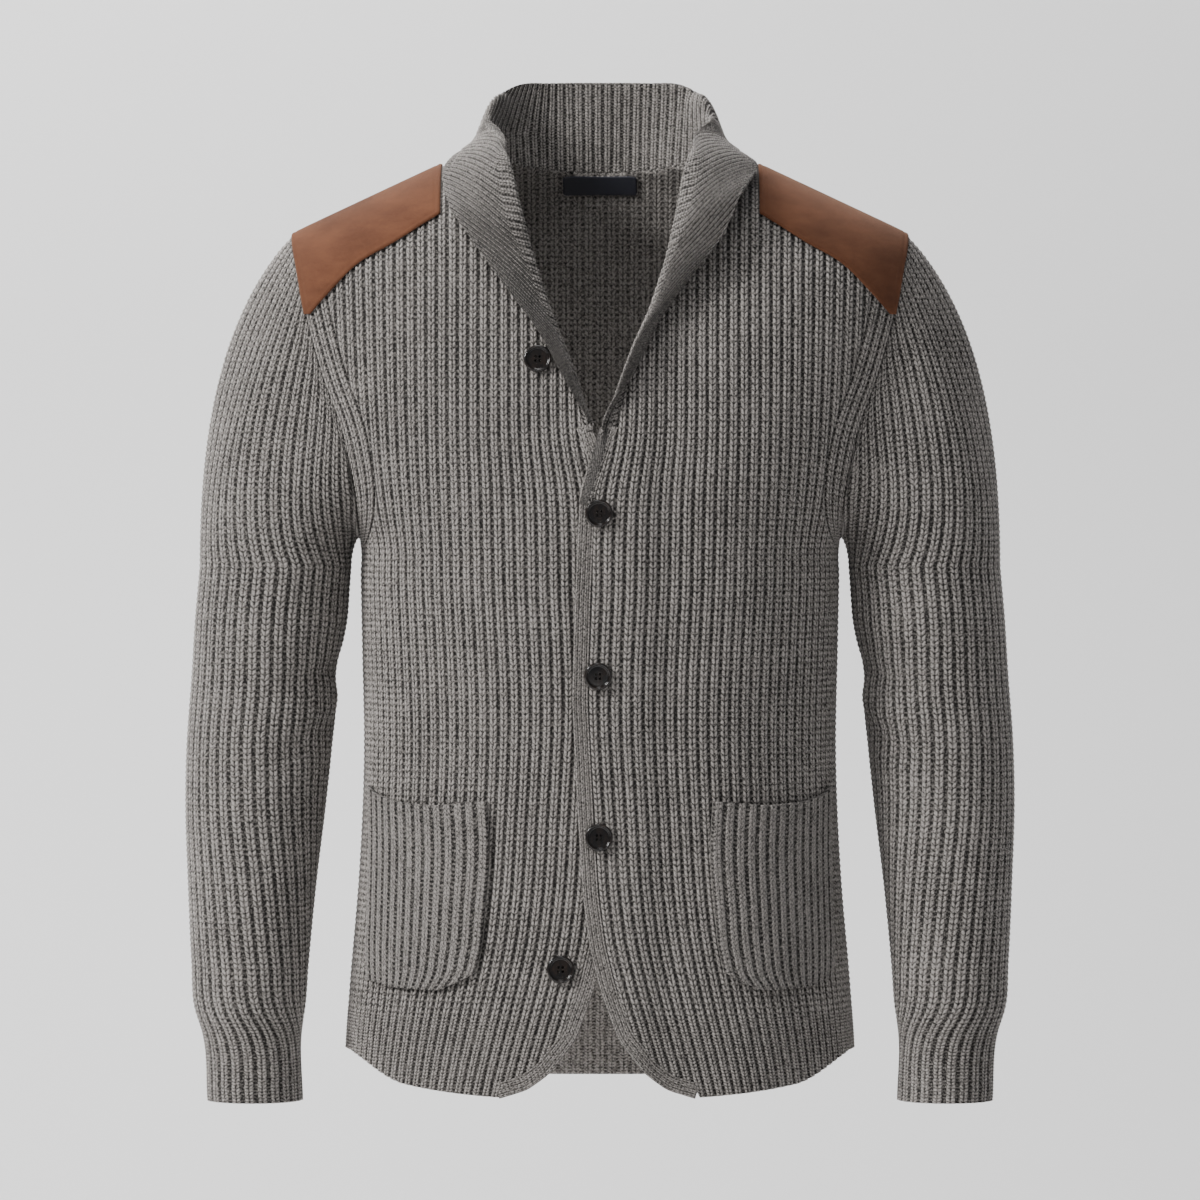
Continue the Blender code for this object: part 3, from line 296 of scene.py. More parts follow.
def wool(name, trough_depth_and_shade=1.0, gap_depth_and_shade=1.0, yarn=1.0, shade=1.0, bump=0.9 * MM, strands=1):
    """Wool in a rib: trough and gaps say how deep the purl columns and the V's outlines sink, and
    so how dark they are painted as shade. A rib may carry several fine strands of Vs side by
    side."""
    material, tree, shader = new_finish(name, 0.92, 0.22, (0.9, 0.87, 0.84, 1.0), 0.18)
    u, v = uv_numbers(tree)
    off = (u.fraction() - 0.5).size()
    rib = off.step(RIB_HALF, RIB_HALF - RIB_ROLL)
    fine = ((u * float(strands)).fraction() - 0.5).size() if strands > 1 else off
    along = (v - fine * (2 * SLANT)).fraction()
    grain = 1.0 - ((along * 2.0 - 1.0).size()).power(3.0)
    valley = fine.step(0.13, 0.0)
    purl = 0.5 - v.wave() * 0.5
    legs = (1.0 - valley * (0.62 * gap_depth_and_shade)) * (1.0 - (1.0 - grain) * (0.75 * gap_depth_and_shade))
    height = rib * legs + (1.0 - rib) * (purl * 0.40 + (1.0 - trough_depth_and_shade) * 0.5)
    fibres = noise(tree, 1300.0, 3.0, 0.7)
    flecks = noise(tree, 640.0, 2.0, 0.6)
    patches = noise(tree, 26.0, 4.0, 0.6)
    # the stitch height also paints the colour: where the knit sinks, the wool is painted darker
    # as shade; the fibres, flecks and patches are the yarn's own mélange
    tone = height * 0.95 + (fibres - 0.5) * (1.2 * yarn) + (flecks - 0.5) * (2.1 * yarn)
    tone = tone + (patches - 0.5) * 0.42 - 0.04
    low = blend_colours(tree, tone.step(0.0, 0.5), WOOL_DARK_AND_PAINTED_SHADE, WOOL_MIDDLE)
    colour = blend_colours(tree, tone.step(0.42, 1.12), low, WOOL_LIGHT)
    # shade paints the piece's whole copy of the wool lighter above 1 (painted light) and darker
    # below 1 (painted shade), for how the light falls on that piece
    if shade != 1.0:
        painted_light_node = tree.nodes.new("ShaderNodeHueSaturation")
        painted_light_node.inputs["Value"].default_value = shade
        tree.links.new(colour, painted_light_node.inputs["Color"])
        colour = painted_light_node.outputs["Color"]
    tree.links.new(colour, shader.inputs["Base Color"])
    raise_surface(tree, shader, height + fibres * 0.28 + flecks * 0.12, bump)
    return material


# each piece has its own copy of the wool: shade paints it lighter or darker for the light that
# falls on that piece, and the painted shade in its recesses is set piece by piece
body_wool = wool("wool_body_rib")
inside_wool = wool("wool_inside", trough_depth_and_shade=0.30, gap_depth_and_shade=0.7, shade=1.02)
fine_wool = wool("wool_collar_rib", trough_depth_and_shade=0.92, gap_depth_and_shade=1.0, shade=0.86, bump=0.7 * MM)
pocket_wool = wool("wool_pocket_rib", trough_depth_and_shade=0.9, gap_depth_and_shade=0.9, shade=0.84, bump=0.6 * MM,
                   strands=3)
band_wool = wool("wool_edge_band", trough_depth_and_shade=0.40, gap_depth_and_shade=0.8, shade=0.92, bump=0.5 * MM)
print("wool finishes made")

# %% [markdown]
# ## The garment's form
#
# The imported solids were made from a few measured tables: how wide and deep the body is at
# each height, where the armhole and the neckline run, how thick the arm is. The same
# tables are read again here, more closely, so that the stitches lie on smooth cloth.

# %% Sizes and tables
WALL = 2.6 * MM
RIB = 1.6 * MM
LAID_GAP = 0.6 * MM
FRONT_RIBS, BACK_RIBS, POCKET_RIBS = 30, 54, 14
SLEEVE_PITCH, COLLAR_PITCH = 9.0 * MM, 7.2 * MM
UNDERARM_Z = -0.275
NECK_SIDE_X = 0.088
SHOULDER_SLOPE, SHOULDER_REF, SHOULDER_ROUND = 0.467, 0.116, 0.065
SIDE_POWER = 2.6
HEM_FRONT_Z, HEM_SIDE_RISE, HEM_CORNER_RISE = -0.677, 0.018, 0.012
BAND_WIDTH, BAND_END_X, CORNER_Z = 0.011, 0.068, -0.590
OVERLAP_LIFT = 6.3 * MM
UNDER_EDGE_SHIFT = 0.004
EDGE_ROUNDING = 60        # passes that round the kinks of the front edge's table
EDGE_FADE = 4             # how fast the ribs beside the front edge turn straight
SIDES = (("right", -1.0), ("left", 1.0))

# columns: z, half_width, front, back
BODY = (
    (-0.690, 0.1850, 0.1170, 0.1170), (-0.650, 0.1846, 0.1165, 0.1165),
    (-0.600, 0.1812, 0.1140, 0.1130), (-0.520, 0.1745, 0.1100, 0.1060),
    (-0.430, 0.1708, 0.1090, 0.1020), (-0.350, 0.1722, 0.1140, 0.1060),
    (-0.300, 0.1732, 0.1180, 0.1110), (-0.275, 0.1735, 0.1195, 0.1140),
    (-0.250, 0.1850, 0.1205, 0.1165), (-0.220, 0.2000, 0.1205, 0.1190),
    (-0.190, 0.2120, 0.1190, 0.1205), (-0.150, 0.2260, 0.1140, 0.1200),
    (-0.110, 0.2360, 0.1070, 0.1160), (-0.070, 0.2440, 0.0980, 0.1070),
    (-0.030, 0.2500, 0.0890, 0.0920), (0.030, 0.2560, 0.0780, 0.0660),
)
# columns: z, x
ARMHOLE = (
    (-0.2750, 0.1735), (-0.2600, 0.1745), (-0.2430, 0.1760), (-0.2200, 0.1800),
    (-0.1910, 0.1870), (-0.1540, 0.2005), (-0.1080, 0.2135), (-0.0750, 0.2205),
    (-0.0516, 0.2265), (0.0300, 0.2265),
)
NECKLINE = (
    (-0.250, -0.0050), (-0.230, 0.0002), (-0.215, 0.0045), (-0.198, 0.0095),
    (-0.168, 0.0185), (-0.135, 0.0310), (-0.106, 0.0455), (-0.070, 0.0595),
    (-0.044, 0.0675), (-0.015, 0.0765), (0.000, 0.0815), (0.008, 0.0855),
    (0.013, 0.0880),
)
FRONT_EDGE = (
    (-0.1900, 0.0025), (-0.202, -0.0020), (-0.238, -0.0144), (-0.317, -0.0180), (-0.389, -0.0200),
    (-0.475, -0.0158), (-0.533, -0.0122), (-0.569, -0.0072), (-0.598, 0.0000),
    (-0.634, 0.0130), (-0.659, 0.0324), (-0.6705, 0.0480), (-0.6768, BAND_END_X),
)
RIB_LINE = (
    (-0.700, 0.0300), (-0.660, 0.0185), (-0.634, 0.0105), (-0.598, 0.0000),
    (-0.569, -0.0072), (-0.533, -0.0122), (-0.475, -0.0158), (-0.389, -0.0200),
    (-0.317, -0.0180), (-0.238, -0.0144), (-0.202, -0.0060), (-0.150, -0.0040),
    (0.030, -0.0040),
)


# %% Reading the tables
def smooth(table, column, value):
    """A table's column at a value, by a curve through its rows without kinks."""
    rows = np.array(sorted(table), float)
    xs, ys = rows[:, 0], rows[:, column]
    slopes = np.gradient(ys, xs)
    v = np.clip(np.asarray(value, float), xs[0], xs[-1])
    i = np.clip(np.searchsorted(xs, v) - 1, 0, len(xs) - 2)
    h = xs[i + 1] - xs[i]
    t = (v - xs[i]) / h
    a = ys[i] * (1 + 2 * t) * (1 - t) ** 2 + ys[i + 1] * t * t * (3 - 2 * t)
    return a + h * slopes[i] * t * (1 - t) ** 2 - h * slopes[i + 1] * t * t * (1 - t)


def unit(vectors):
    v = np.asarray(vectors, float)
    return v / np.maximum(np.linalg.norm(v, axis=-1, keepdims=True), 1e-12)


def lengths_along(points):
    steps = np.linalg.norm(np.diff(points, axis=0), axis=-1)
    return np.concatenate([np.zeros((1,) + steps.shape[1:]), np.cumsum(steps, axis=0)])


def read_along(rows, s, at):
    """Rows of a line whose lengths are s, read at other lengths."""
    return np.stack([np.interp(at, s, rows[:, k]) for k in range(rows.shape[1])], 1)


def resample(points, fractions):
    s = lengths_along(points)
    s /= s[-1]
    return read_along(points, s, fractions)


# %% The body's surface
def shoulder_z(x):
    return -(np.abs(x) - SHOULDER_REF) * SHOULDER_SLOPE


def depth_squared(x, z, back):
    depth = smooth(BODY, 3 if back else 2, z)
    fill = 1 - (np.abs(x) / smooth(BODY, 1, z)) ** SIDE_POWER
    drop = np.minimum((shoulder_z(x) - z) / SHOULDER_ROUND, 1.0)
    return depth ** 2 * fill * (2 * drop - drop ** 2)


def body_points(x, z, back):
    """Points of the plain inside and their outward normals."""
    x, z = np.asarray(x, float), np.asarray(z, float)
    q = depth_squared(x, z, back)
    y = (1.0 if back else -1.0) * np.sqrt(np.maximum(q, 0.0))
    d = 2e-5
    qx = (depth_squared(x + d, z, back) - depth_squared(x - d, z, back)) / (2 * d)
    qz = (depth_squared(x, z + d, back) - depth_squared(x, z - d, back)) / (2 * d)
    return np.stack([x, y, z], -1), unit(np.stack([-qx, 2 * y, -qz], -1))


def overlap_lift(x, z, over):
    if not over:
        return np.zeros(np.shape(x))
    return OVERLAP_LIFT * ease((0.052 - x) / 0.030) * ease((-0.105 - z) / 0.030)


def front_points(x, z, over, lift):
    p, n = body_points(x, z, False)
    return p + n * (np.asarray(lift) + overlap_lift(x, z, over))[..., None], n


def mirrored(points, side):
    return points * np.array([side, 1.0, 1.0])


# %% Where the panels end
def hem_z(x):
    rise = HEM_SIDE_RISE * np.clip(np.abs(x) / 0.18, 0, 1) ** 3
    return HEM_FRONT_Z + rise + HEM_CORNER_RISE * ease((np.abs(x) - 0.140) / 0.047)


def front_high(x):
    rows = np.array(NECKLINE)
    neck = np.interp(x, rows[:, 1], rows[:, 0])
    return np.where(x < NECK_SIDE_X, neck, shoulder_z(x))


def back_high(x):
    neck = 0.004 + (shoulder_z(NECK_SIDE_X) - 0.004) * (np.abs(x) / NECK_SIDE_X) ** 2
    return np.where(np.abs(x) < NECK_SIDE_X, neck, shoulder_z(x))


def edge_line(over):
    """A fine line of x and z down a front's free edge and round its lower corner."""
    rows = np.array(FRONT_EDGE)
    edge = np.stack([rows[:, 1] + (0.0 if over else UNDER_EDGE_SHIFT), rows[:, 0]], 1)
    s = lengths_along(edge)
    line = read_along(edge, s, np.linspace(0, s[-1], 800))
    for _ in range(EDGE_ROUNDING):
        line[1:-1] = (line[:-2] + 2 * line[1:-1] + line[2:]) / 4
    return line


def inward(line):
    along = unit(np.gradient(line, axis=0))
    return np.stack([-along[:, 1], along[:, 0]], 1)


def front_low(over):
    edge = edge_line(over)
    inner = edge + inward(edge) * BAND_WIDTH
    corner = inner[inner[:, 1] < CORNER_Z]
    corner = corner[np.argsort(corner[:, 0])]

    def low(x):
        band = np.interp(x, corner[:, 0], corner[:, 1])
        return np.where(x < BAND_END_X, np.maximum(band, hem_z(x)), hem_z(x))

    return low


# %% [markdown]
# ## Knitting a piece
#
# A knitted piece is a set of rib columns. Each column is a line over the form, counted in
# stitches along its own length, as a knitter counts rows. The mesh takes two rows of
# points to a stitch and a few columns to a rib, slanted like the V's arms, so that its
# edges run along the yarn. Columns stop at the piece's border, where their last points
# fall together and are merged. Outside and inside are joined round the rim into one thin
# closed shell.

# %% Columns to a grid
RIB_COLUMNS = {6: (0.0, 0.17, 0.31, 0.5, 0.69, 0.83), 4: (0.0, 0.27, 0.5, 0.73), 2: (0.0, 0.5)}


def rib_places(first, last, fineness):
    """Places across in ribs, from the first to the last."""
    inside = [k + a for k in range(int(math.floor(first)), int(math.ceil(last)))
              for a in RIB_COLUMNS[fineness]]
    inside = [u for u in inside if first + 0.02 < u < last - 0.02]
    return np.array([first] + inside + [last])


def stitches_along(points, pitch):
    """Stitch count along each column, for a pitch given at each point."""
    steps = np.linalg.norm(np.diff(points, axis=0), axis=-1)
    middle = (pitch[1:] + pitch[:-1]) / 2
    return np.concatenate([np.zeros((1,) + steps.shape[1:]), np.cumsum(steps / middle, axis=0)])


def knit_rows(u, points, normals, v, low, high, kept, per_stitch, slanted=True):
    """Resamples each column at even stitches between its two ends."""
    off = np.abs(u - np.floor(u) - 0.5) * 2 * SLANT * (1.0 if slanted else 0.0)
    first = math.floor((low - off).min() * per_stitch)
    last = math.ceil((high - off).max() * per_stitch)
    rows = np.arange(first, last + 1) / per_stitch
    wanted = np.clip(rows[:, None] + off[None, :], low[None, :], high[None, :])
    p = np.zeros(wanted.shape + (3,))
    n = np.zeros(wanted.shape + (3,))
    left = np.ones(wanted.shape)
    for c in range(len(u)):
        if kept is not None:
            left[:, c] = np.interp(wanted[:, c], v[:, c], kept[:, c])
        for k in range(3):
            p[:, c, k] = np.interp(wanted[:, c], v[:, c], points[:, c, k])
            n[:, c, k] = np.interp(wanted[:, c], v[:, c], normals[:, c, k])
    uv = np.stack([np.broadcast_to(u, wanted.shape), wanted], -1)
    return p, unit(n), uv, left


# %% A closed shell from two grids
class Shell:
    """Gathers grids and rims of one piece, merges what falls together, makes the mesh."""

    def __init__(self):
        self.points, self.uvs, self.quads, self.finish = [], [], [], []
        self.count = 0

    def add(self, points, uv):
        index = self.count + np.arange(points.shape[0] * points.shape[1])
        self.points.append(points.reshape(-1, 3))
        self.uvs.append(uv.reshape(-1, 2))
        self.count += len(index)
        return index.reshape(points.shape[:2])

    def faces(self, quads, finish):
        self.quads.append(np.asarray(quads).reshape(-1, 4))
        self.finish.append(np.full(len(self.quads[-1]), finish))

    def sheet(self, ids, finish, flip=False):
        quads = np.stack([ids[:-1, :-1], ids[:-1, 1:], ids[1:, 1:], ids[1:, :-1]], -1)
        quads = quads.reshape(-1, 4)
        self.faces(quads[:, ::-1] if flip else quads, finish)

    def rim(self, fine, coarse, flip):
        """Triangles between two border lines with the same ends and other counts."""
        made, i, j = [], 0, 0
        while i < len(fine) - 1 or j < len(coarse) - 1:
            ahead = (i + 1) / (len(fine) - 1) if i < len(fine) - 1 else 2.0
            behind = (j + 1) / (len(coarse) - 1) if j < len(coarse) - 1 else 2.0
            if ahead <= behind:
                made.append((fine[i], fine[i + 1], coarse[j], coarse[j]))
                i += 1
            else:
                made.append((fine[i], coarse[j + 1], coarse[j], coarse[j]))
                j += 1
        made = np.array(made)
        self.faces(made[:, ::-1] if flip else made, 0)

    def close(self, outer, inner, inner_finish=0, tube=False):
        """Both faces and the rims between them; a tube has none along its sides."""
        self.sheet(outer, 0)
        self.sheet(inner, inner_finish, flip=True)
        self.rim(outer[0], inner[0], True)
        self.rim(outer[-1], inner[-1], False)
        if not tube:
            self.rim(outer[:, 0], inner[:, 0], False)
            self.rim(outer[:, -1], inner[:, -1], True)

    def mesh(self, name, finishes, side=1.0):
        points = mirrored(np.concatenate(self.points), side)
        uvs = np.concatenate(self.uvs)
        quads, finish = np.concatenate(self.quads), np.concatenate(self.finish)
        if side < 0:
            quads = quads[:, ::-1]
        keys, merged = np.unique(np.round(points, 6), axis=0, return_inverse=True)
        merged = merged.reshape(-1)
        corners = merged[quads]
        same = corners == np.roll(corners, -1, axis=1)
        count = same.sum(1)
        whole = (count == 0) & (corners[:, 0] != corners[:, 2]) & (corners[:, 1] != corners[:, 3])
        three = count == 1
        keep = ~same
        tri_rows = np.where(three)[0]
        tri_mask = keep[tri_rows]
        tri_corner = corners[tri_rows][tri_mask].reshape(-1, 3)
        tri_source = quads[tri_rows][tri_mask].reshape(-1, 3)
        good = (tri_corner[:, 0] != tri_corner[:, 1]) & (tri_corner[:, 1] != tri_corner[:, 2])
        good &= tri_corner[:, 0] != tri_corner[:, 2]
        tri_corner, tri_source = tri_corner[good], tri_source[good]
        faces = corners[whole].tolist() + tri_corner.tolist()
        source = np.concatenate([quads[whole].reshape(-1), tri_source.reshape(-1)])
        slots = np.concatenate([finish[whole], finish[tri_rows][good]])
        mesh = bpy.data.meshes.new(name)
        mesh.from_pydata(keys.tolist(), [], faces)
        layer = mesh.uv_layers.new(name="UVMap")
        layer.data.foreach_set("uv", uvs[source].reshape(-1).astype(np.float32))
        for finish_made in finishes:
            mesh.materials.append(finish_made)
        mesh.polygons.foreach_set("material_index", slots.astype(np.int32))
        mesh.update()
        if inside_out(mesh):
            mesh.flip_normals()
        mesh.shade_smooth()
        piece = bpy.data.objects.new(name, mesh)
        bpy.context.scene.collection.objects.link(piece)
        triangles = 2 * int(whole.sum()) + len(tri_corner)
        print("%-28s %7d triangles" % (name, triangles))
        return piece


def inside_out(mesh):
    """Whether a closed mesh's faces look inwards, by its signed volume."""
    count = len(mesh.vertices)
    co = np.zeros(count * 3)
    mesh.vertices.foreach_get("co", co)
    co = co.reshape(-1, 3)
    mesh.calc_loop_triangles()
    corner = np.zeros(len(mesh.loop_triangles) * 3, np.int32)
    mesh.loop_triangles.foreach_get("vertices", corner)
    a, b, c = (co[corner.reshape(-1, 3)[:, k]] for k in range(3))
    return float((a * np.cross(b, c)).sum()) < 0


# %% One knitted piece
TROUGH_DEPTH = 0.7 * MM   # a purl column sinks so far into the wall


def knit_piece(name, path, fineness, wall, rib, finishes, side=1.0, tube=False,
               inside_relief=0.8 * MM, per_stitch=2):
    """A shell from columns: path gives points, normals, stitches and ends for places u."""
    shell = Shell()
    u = rib_places(*path["span"], fineness)
    grid = path["columns"](u)
    p, n, uv, left = knit_rows(u, *grid, per_stitch)
    height = stitch_relief(uv[..., 0], uv[..., 1]) * left
    lift = wall - TROUGH_DEPTH + (rib + TROUGH_DEPTH) * height
    outer = shell.add(p + n * lift[..., None], uv)
    u_in = rib_places(*path["span"], 2)
    grid = path["columns"](u_in)
    q, m, uv_in, _ = knit_rows(u_in, *grid, 0.5, slanted=False)
    depth = inside_relief * (np.abs(uv_in[..., 0] - np.floor(uv_in[..., 0]) - 0.5) * 2)
    depth[0] = depth[-1] = 0.0
    depth[:, 0] = depth[:, -1] = 0.0
    uv_in = uv_in + np.array([0.5, 0.0])
    inner = shell.add(q - m * depth[..., None], uv_in)
    shell.close(outer, inner, 1, tube)
    return shell.mesh(name, finishes, side)


def dress(piece, nodes, slot, **cut):
    """Hangs a piece under the root and hides the solids that it stands for. The flat cut it is
    sewn from is not used.
    """
    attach(piece, "root")
    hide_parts(*nodes)


# %% [markdown]
# ## Fronts and back
#
# The ribs leave the hem at an even spacing and run straight up; the armhole cuts the
# outer ones off. The left front lies over the right one, so it stands off by the
# thickness of the cloth near the middle. In the hem the rows are half as high.

# %% Columns of a panel
HEM_TOP_Z = -0.6180
ROW_BODY, ROW_HEM = 4.4 * MM, 2.35 * MM
ARM_RIBS = 3              # ribs that run along the armhole; the others end on them


def column_lines(u, ribs, first_x, back):
    """Each column's x at each height, and how much of its relief is left there."""
    heights = np.linspace(-0.69, 0.03, 241)
    paths = np.zeros((len(heights), len(u)))
    kept_relief = np.ones(paths.shape)
    shares, girth = u / ribs, 0.0
    for i, z in enumerate(heights):
        half = smooth(BODY, 1, z)
        side_x = half if z <= UNDERARM_Z else min(smooth(ARMHOLE, 1, z), half)
        x = half * np.sin(np.linspace(-0.2, math.asin(side_x / half), 160))
        fill = np.maximum(1 - (np.abs(x) / half) ** SIDE_POWER, 0.0)
        y = smooth(BODY, 3 if back else 2, z) * np.sqrt(fill)
        s = lengths_along(np.stack([x, y], 1))
        first = np.interp(first_x(z), x, s)
        if z <= UNDERARM_Z:
            girth = s[-1] - first
            along = first + shares * girth
        else:
            kept = np.interp(first_x(UNDERARM_Z), x, s)
            rib = girth / ribs
            free = kept + shares * girth + (first - kept) * (1 - shares) ** EDGE_FADE
            limit = s[-1] - ARM_RIBS * rib
            beside_arm = u > ribs - ARM_RIBS
            along = np.where(beside_arm, s[-1] - (ribs - u) * rib, np.minimum(free, limit))
            kept_relief[i] = np.where(beside_arm, 1.0, ease((limit - free) / (0.45 * rib)))
        paths[i] = np.interp(along, s, x)
    return heights, paths, kept_relief


def panel_columns(ribs, first_x, back, over, low_at, high_at):
    def columns(u):
        heights, paths, left = column_lines(np.abs(u), ribs, first_x, back)
        z = np.linspace(heights[0], heights[-1], 721)
        x = np.stack([np.interp(z, heights, paths[:, c]) for c in range(len(u))], 1)
        left = np.stack([np.interp(z, heights, left[:, c]) for c in range(len(u))], 1)
        tall = np.broadcast_to(z[:, None], x.shape)
        room = np.minimum(tall - low_at(x), high_at(x) - tall)
        x_signed = x * np.where(u < 0, -1.0, 1.0)
        points, normals = body_points(x_signed, tall, back)
        if not back:
            points = points + normals * overlap_lift(x, tall, over)[..., None]
        pitch = ROW_HEM + (ROW_BODY - ROW_HEM) * ease((tall - HEM_TOP_Z) / 0.004 + 0.5)
        v = stitches_along(points, pitch)
        low, high = np.zeros(len(u)), np.zeros(len(u))
        middle = np.searchsorted(z, -0.40)
        level = np.searchsorted(z, HEM_TOP_Z)
        for c in range(len(u)):
            v[:, c] -= v[level, c]
            bad = np.where(room[:, c] < 0)[0]
            below, above = bad[bad < middle], bad[bad > middle]
            a = below[-1] if len(below) else -1
            b = above[0] if len(above) else len(z)
            low[c] = crossing(v[:, c], room[:, c], a, a + 1)
            high[c] = crossing(v[:, c], room[:, c], b - 1, b)
        return points, normals, v, low, high, left
    return columns


def crossing(v, room, a, b):
    """The stitch count where the room falls to nothing between two samples."""
    if a < 0:
        return v[0]
    if b >= len(v):
        return v[-1]
    share = np.clip(room[a] / (room[a] - room[b]), 0, 1) if room[a] != room[b] else 0.5
    if not 0 < abs(room[a] - room[b]) < 0.02:
        share = 1.0 if room[a] < 0 else 0.0
    return v[a] + (v[b] - v[a]) * share


# %% The two fronts and the back
def front_path(over):
    shift = BAND_WIDTH + (0.0 if over else UNDER_EDGE_SHIFT)
    columns = panel_columns(FRONT_RIBS, lambda z: smooth(RIB_LINE, 1, z) + shift, False, over,
                            front_low(over), front_high)
    return {"span": (0.0, float(FRONT_RIBS)), "columns": columns}


def back_path():
    columns = panel_columns(BACK_RIBS / 2, lambda z: 0.0, True, False, hem_z, back_high)
    return {"span": (-BACK_RIBS / 2, BACK_RIBS / 2), "columns": columns}


PANEL_FINISH = [body_wool, inside_wool]
for side_name, side in SIDES:
    front = knit_piece("front_%s_knit" % side_name, front_path(side_name == "left"), 6,
                       WALL, RIB, PANEL_FINISH, side)
    dress(front, ["front_" + side_name], "rib_knit", flat=(0.27, 0.72), held="hung",
          rests_on=["shoulder_patch_" + side_name], area=0.155)
back = knit_piece("back_knit", back_path(), 4, WALL, RIB, PANEL_FINISH)
dress(back, ["back"], "rib_knit", flat=(0.52, 0.72), held="hung",
      rests_on=["shoulder_patch_right", "shoulder_patch_left"], area=0.330)

# %% [markdown]
# ## Edge bands
#
# The front edges and their round lower corners are finished with a narrow knitted band.
# Its few fine ribs run along the edge, so here the columns are lines that follow it.

# %% Bands along the front edges
BAND_RIBS, BAND_ROW = 3.5, 2.9 * MM
BAND_LAP = 0.2 * MM       # the band reaches so far past its width over the front's border


def band_path(over):
    edge = edge_line(over)[::-1]
    into = -inward(edge)

    def columns(u):
        across = u / BAND_RIBS * (BAND_WIDTH + BAND_LAP)
        x = edge[:, None, 0] + into[:, None, 0] * across
        z = edge[:, None, 1] + into[:, None, 1] * across
        points, normals = front_points(x, z, over, np.zeros(x.shape))
        v = stitches_along(points, np.full(x.shape, BAND_ROW))
        return points, normals, v, v[0], v[-1], None

    return {"span": (0.0, BAND_RIBS), "columns": columns}


for side_name, side in SIDES:
    band = knit_piece("edge_band_%s_knit" % side_name, band_path(side_name == "left"), 4,
                      WALL + 0.6 * MM, 0.9 * MM, [band_wool, inside_wool], side,
                      inside_relief=0.2 * MM)
    dress(band, ["edge_band_" + side_name], "rib_knit", flat=(0.0115, 0.52), held="hung",
          rests_on=["front_%s_knit" % side_name])

# %% [markdown]
# ## Sleeves
#
# Below the underarm a sleeve is a tube that narrows to the cuff, with the soft creases of
# a bent elbow. Above it the cloth runs up to the armhole in a curve that leaves the seam
# square to it. The ribs are counted from the outer side, and the ones that the narrowing
# tube has no room for end in the seam under the arm.

# %% Tables of the sleeve
# columns: z, outer, inner, middle_y
SLEEVE = (
    (-0.292, 0.2965, 0.1835, -0.001), (-0.330, 0.3000, 0.1868, 0.001),
    (-0.376, 0.3030, 0.1940, 0.003), (-0.420, 0.3062, 0.1975, 0.002),
    (-0.465, 0.3070, 0.2020, -0.003), (-0.524, 0.3045, 0.2087, -0.013),
    (-0.583, 0.3012, 0.2140, -0.023), (-0.617, 0.2985, 0.2165, -0.028),
    (-0.634, 0.2930, 0.2190, -0.030), (-0.684, 0.2888, 0.2180, -0.034),
)
SLEEVE_ROUNDNESS = 1.08
# columns: z, turn, depth, span_z, span_turn, slant
SLEEVE_FOLDS = (
    (-0.372, 0.40, 3.2 * MM, 0.010, 0.13, 0.10), (-0.398, 0.42, -2.6 * MM, 0.009, 0.12, 0.12),
    (-0.340, 0.36, -1.8 * MM, 0.012, 0.12, 0.08), (-0.430, 0.34, 2.0 * MM, 0.012, 0.11, 0.15),
    (-0.386, 0.60, 2.6 * MM, 0.012, 0.12, -0.12), (-0.415, 0.62, -1.8 * MM, 0.011, 0.11, -0.10),
)
CUFF_TOP_Z = -0.6260
ROW_SLEEVE, ROW_CUFF = 4.15 * MM, 2.4 * MM


# %% Columns of the sleeve
def sleeve_ring(z, turns):
    outer, inner = smooth(SLEEVE, 1, z), smooth(SLEEVE, 2, z)
    half = (outer - inner) / 2
    rx, ry = half - WALL - RIB, half * SLEEVE_ROUNDNESS - WALL - RIB
    angle = 2 * math.pi * turns
    dent = np.zeros(len(turns))
    for fz, turn, depth, span_z, span_turn, slant in SLEEVE_FOLDS:
        off = (z - fz - slant * (turns - turn)) / span_z
        dent += depth * np.exp(-off ** 2) * np.exp(-((turns - turn) / span_turn) ** 2)
    x = (outer + inner) / 2 + (rx - dent) * np.cos(angle)
    y = smooth(SLEEVE, 3, z) - (ry - dent) * np.sin(angle)
    return np.stack([x, y, np.full(len(turns), z)], 1)


def ring_turns(z, distances):
    """Turns round the ring at distances from its outer side, positive to the front."""
    turns = np.linspace(0, 0.5, 160)
    found = np.zeros(len(distances))
    for sign in (1.0, -1.0):
        s = lengths_along(sleeve_ring(z, (sign * turns) % 1.0))
        mine = distances >= 0 if sign > 0 else distances < 0
        found[mine] = sign * np.interp(np.minimum(np.abs(distances[mine]), s[-1]), s, turns)
    return found


def armhole_edge(shares):
    """Inside points, normals and ways out along the armhole: 0 at the tip, 0.5 under the arm."""
    tip_z = float(shoulder_z(0.2265))
    z = np.linspace(tip_z, UNDERARM_Z, 160)
    x = np.minimum(smooth(ARMHOLE, 1, z), smooth(BODY, 1, z))
    lines = []
    for back in (False, True):
        p, n = body_points(x, z, back)
        p[[0, -1], 1] = n[[0, -1], 1] = 0.0
        s = lengths_along(p)
        s = s / s[-1]
        at = np.linspace(0, 1, 300)
        lines.append([read_along(rows, s, at) for rows in (p, unit(n))])
    points = np.concatenate([lines[0][0], lines[1][0][::-1][1:]])
    normals = unit(np.concatenate([lines[0][1], lines[1][1][::-1][1:]]))
    closed = points[:-1]
    along = unit(np.roll(closed, -1, 0) - np.roll(closed, 1, 0))
    along = np.concatenate([along, along[:1]])
    away = unit(np.cross(normals, along))
    away = away * np.sign(away[0, 0])
    at = np.linspace(0, 1, len(points))
    return [read_along(rows, at, shares % 1.0) for rows in (points, normals, away)]


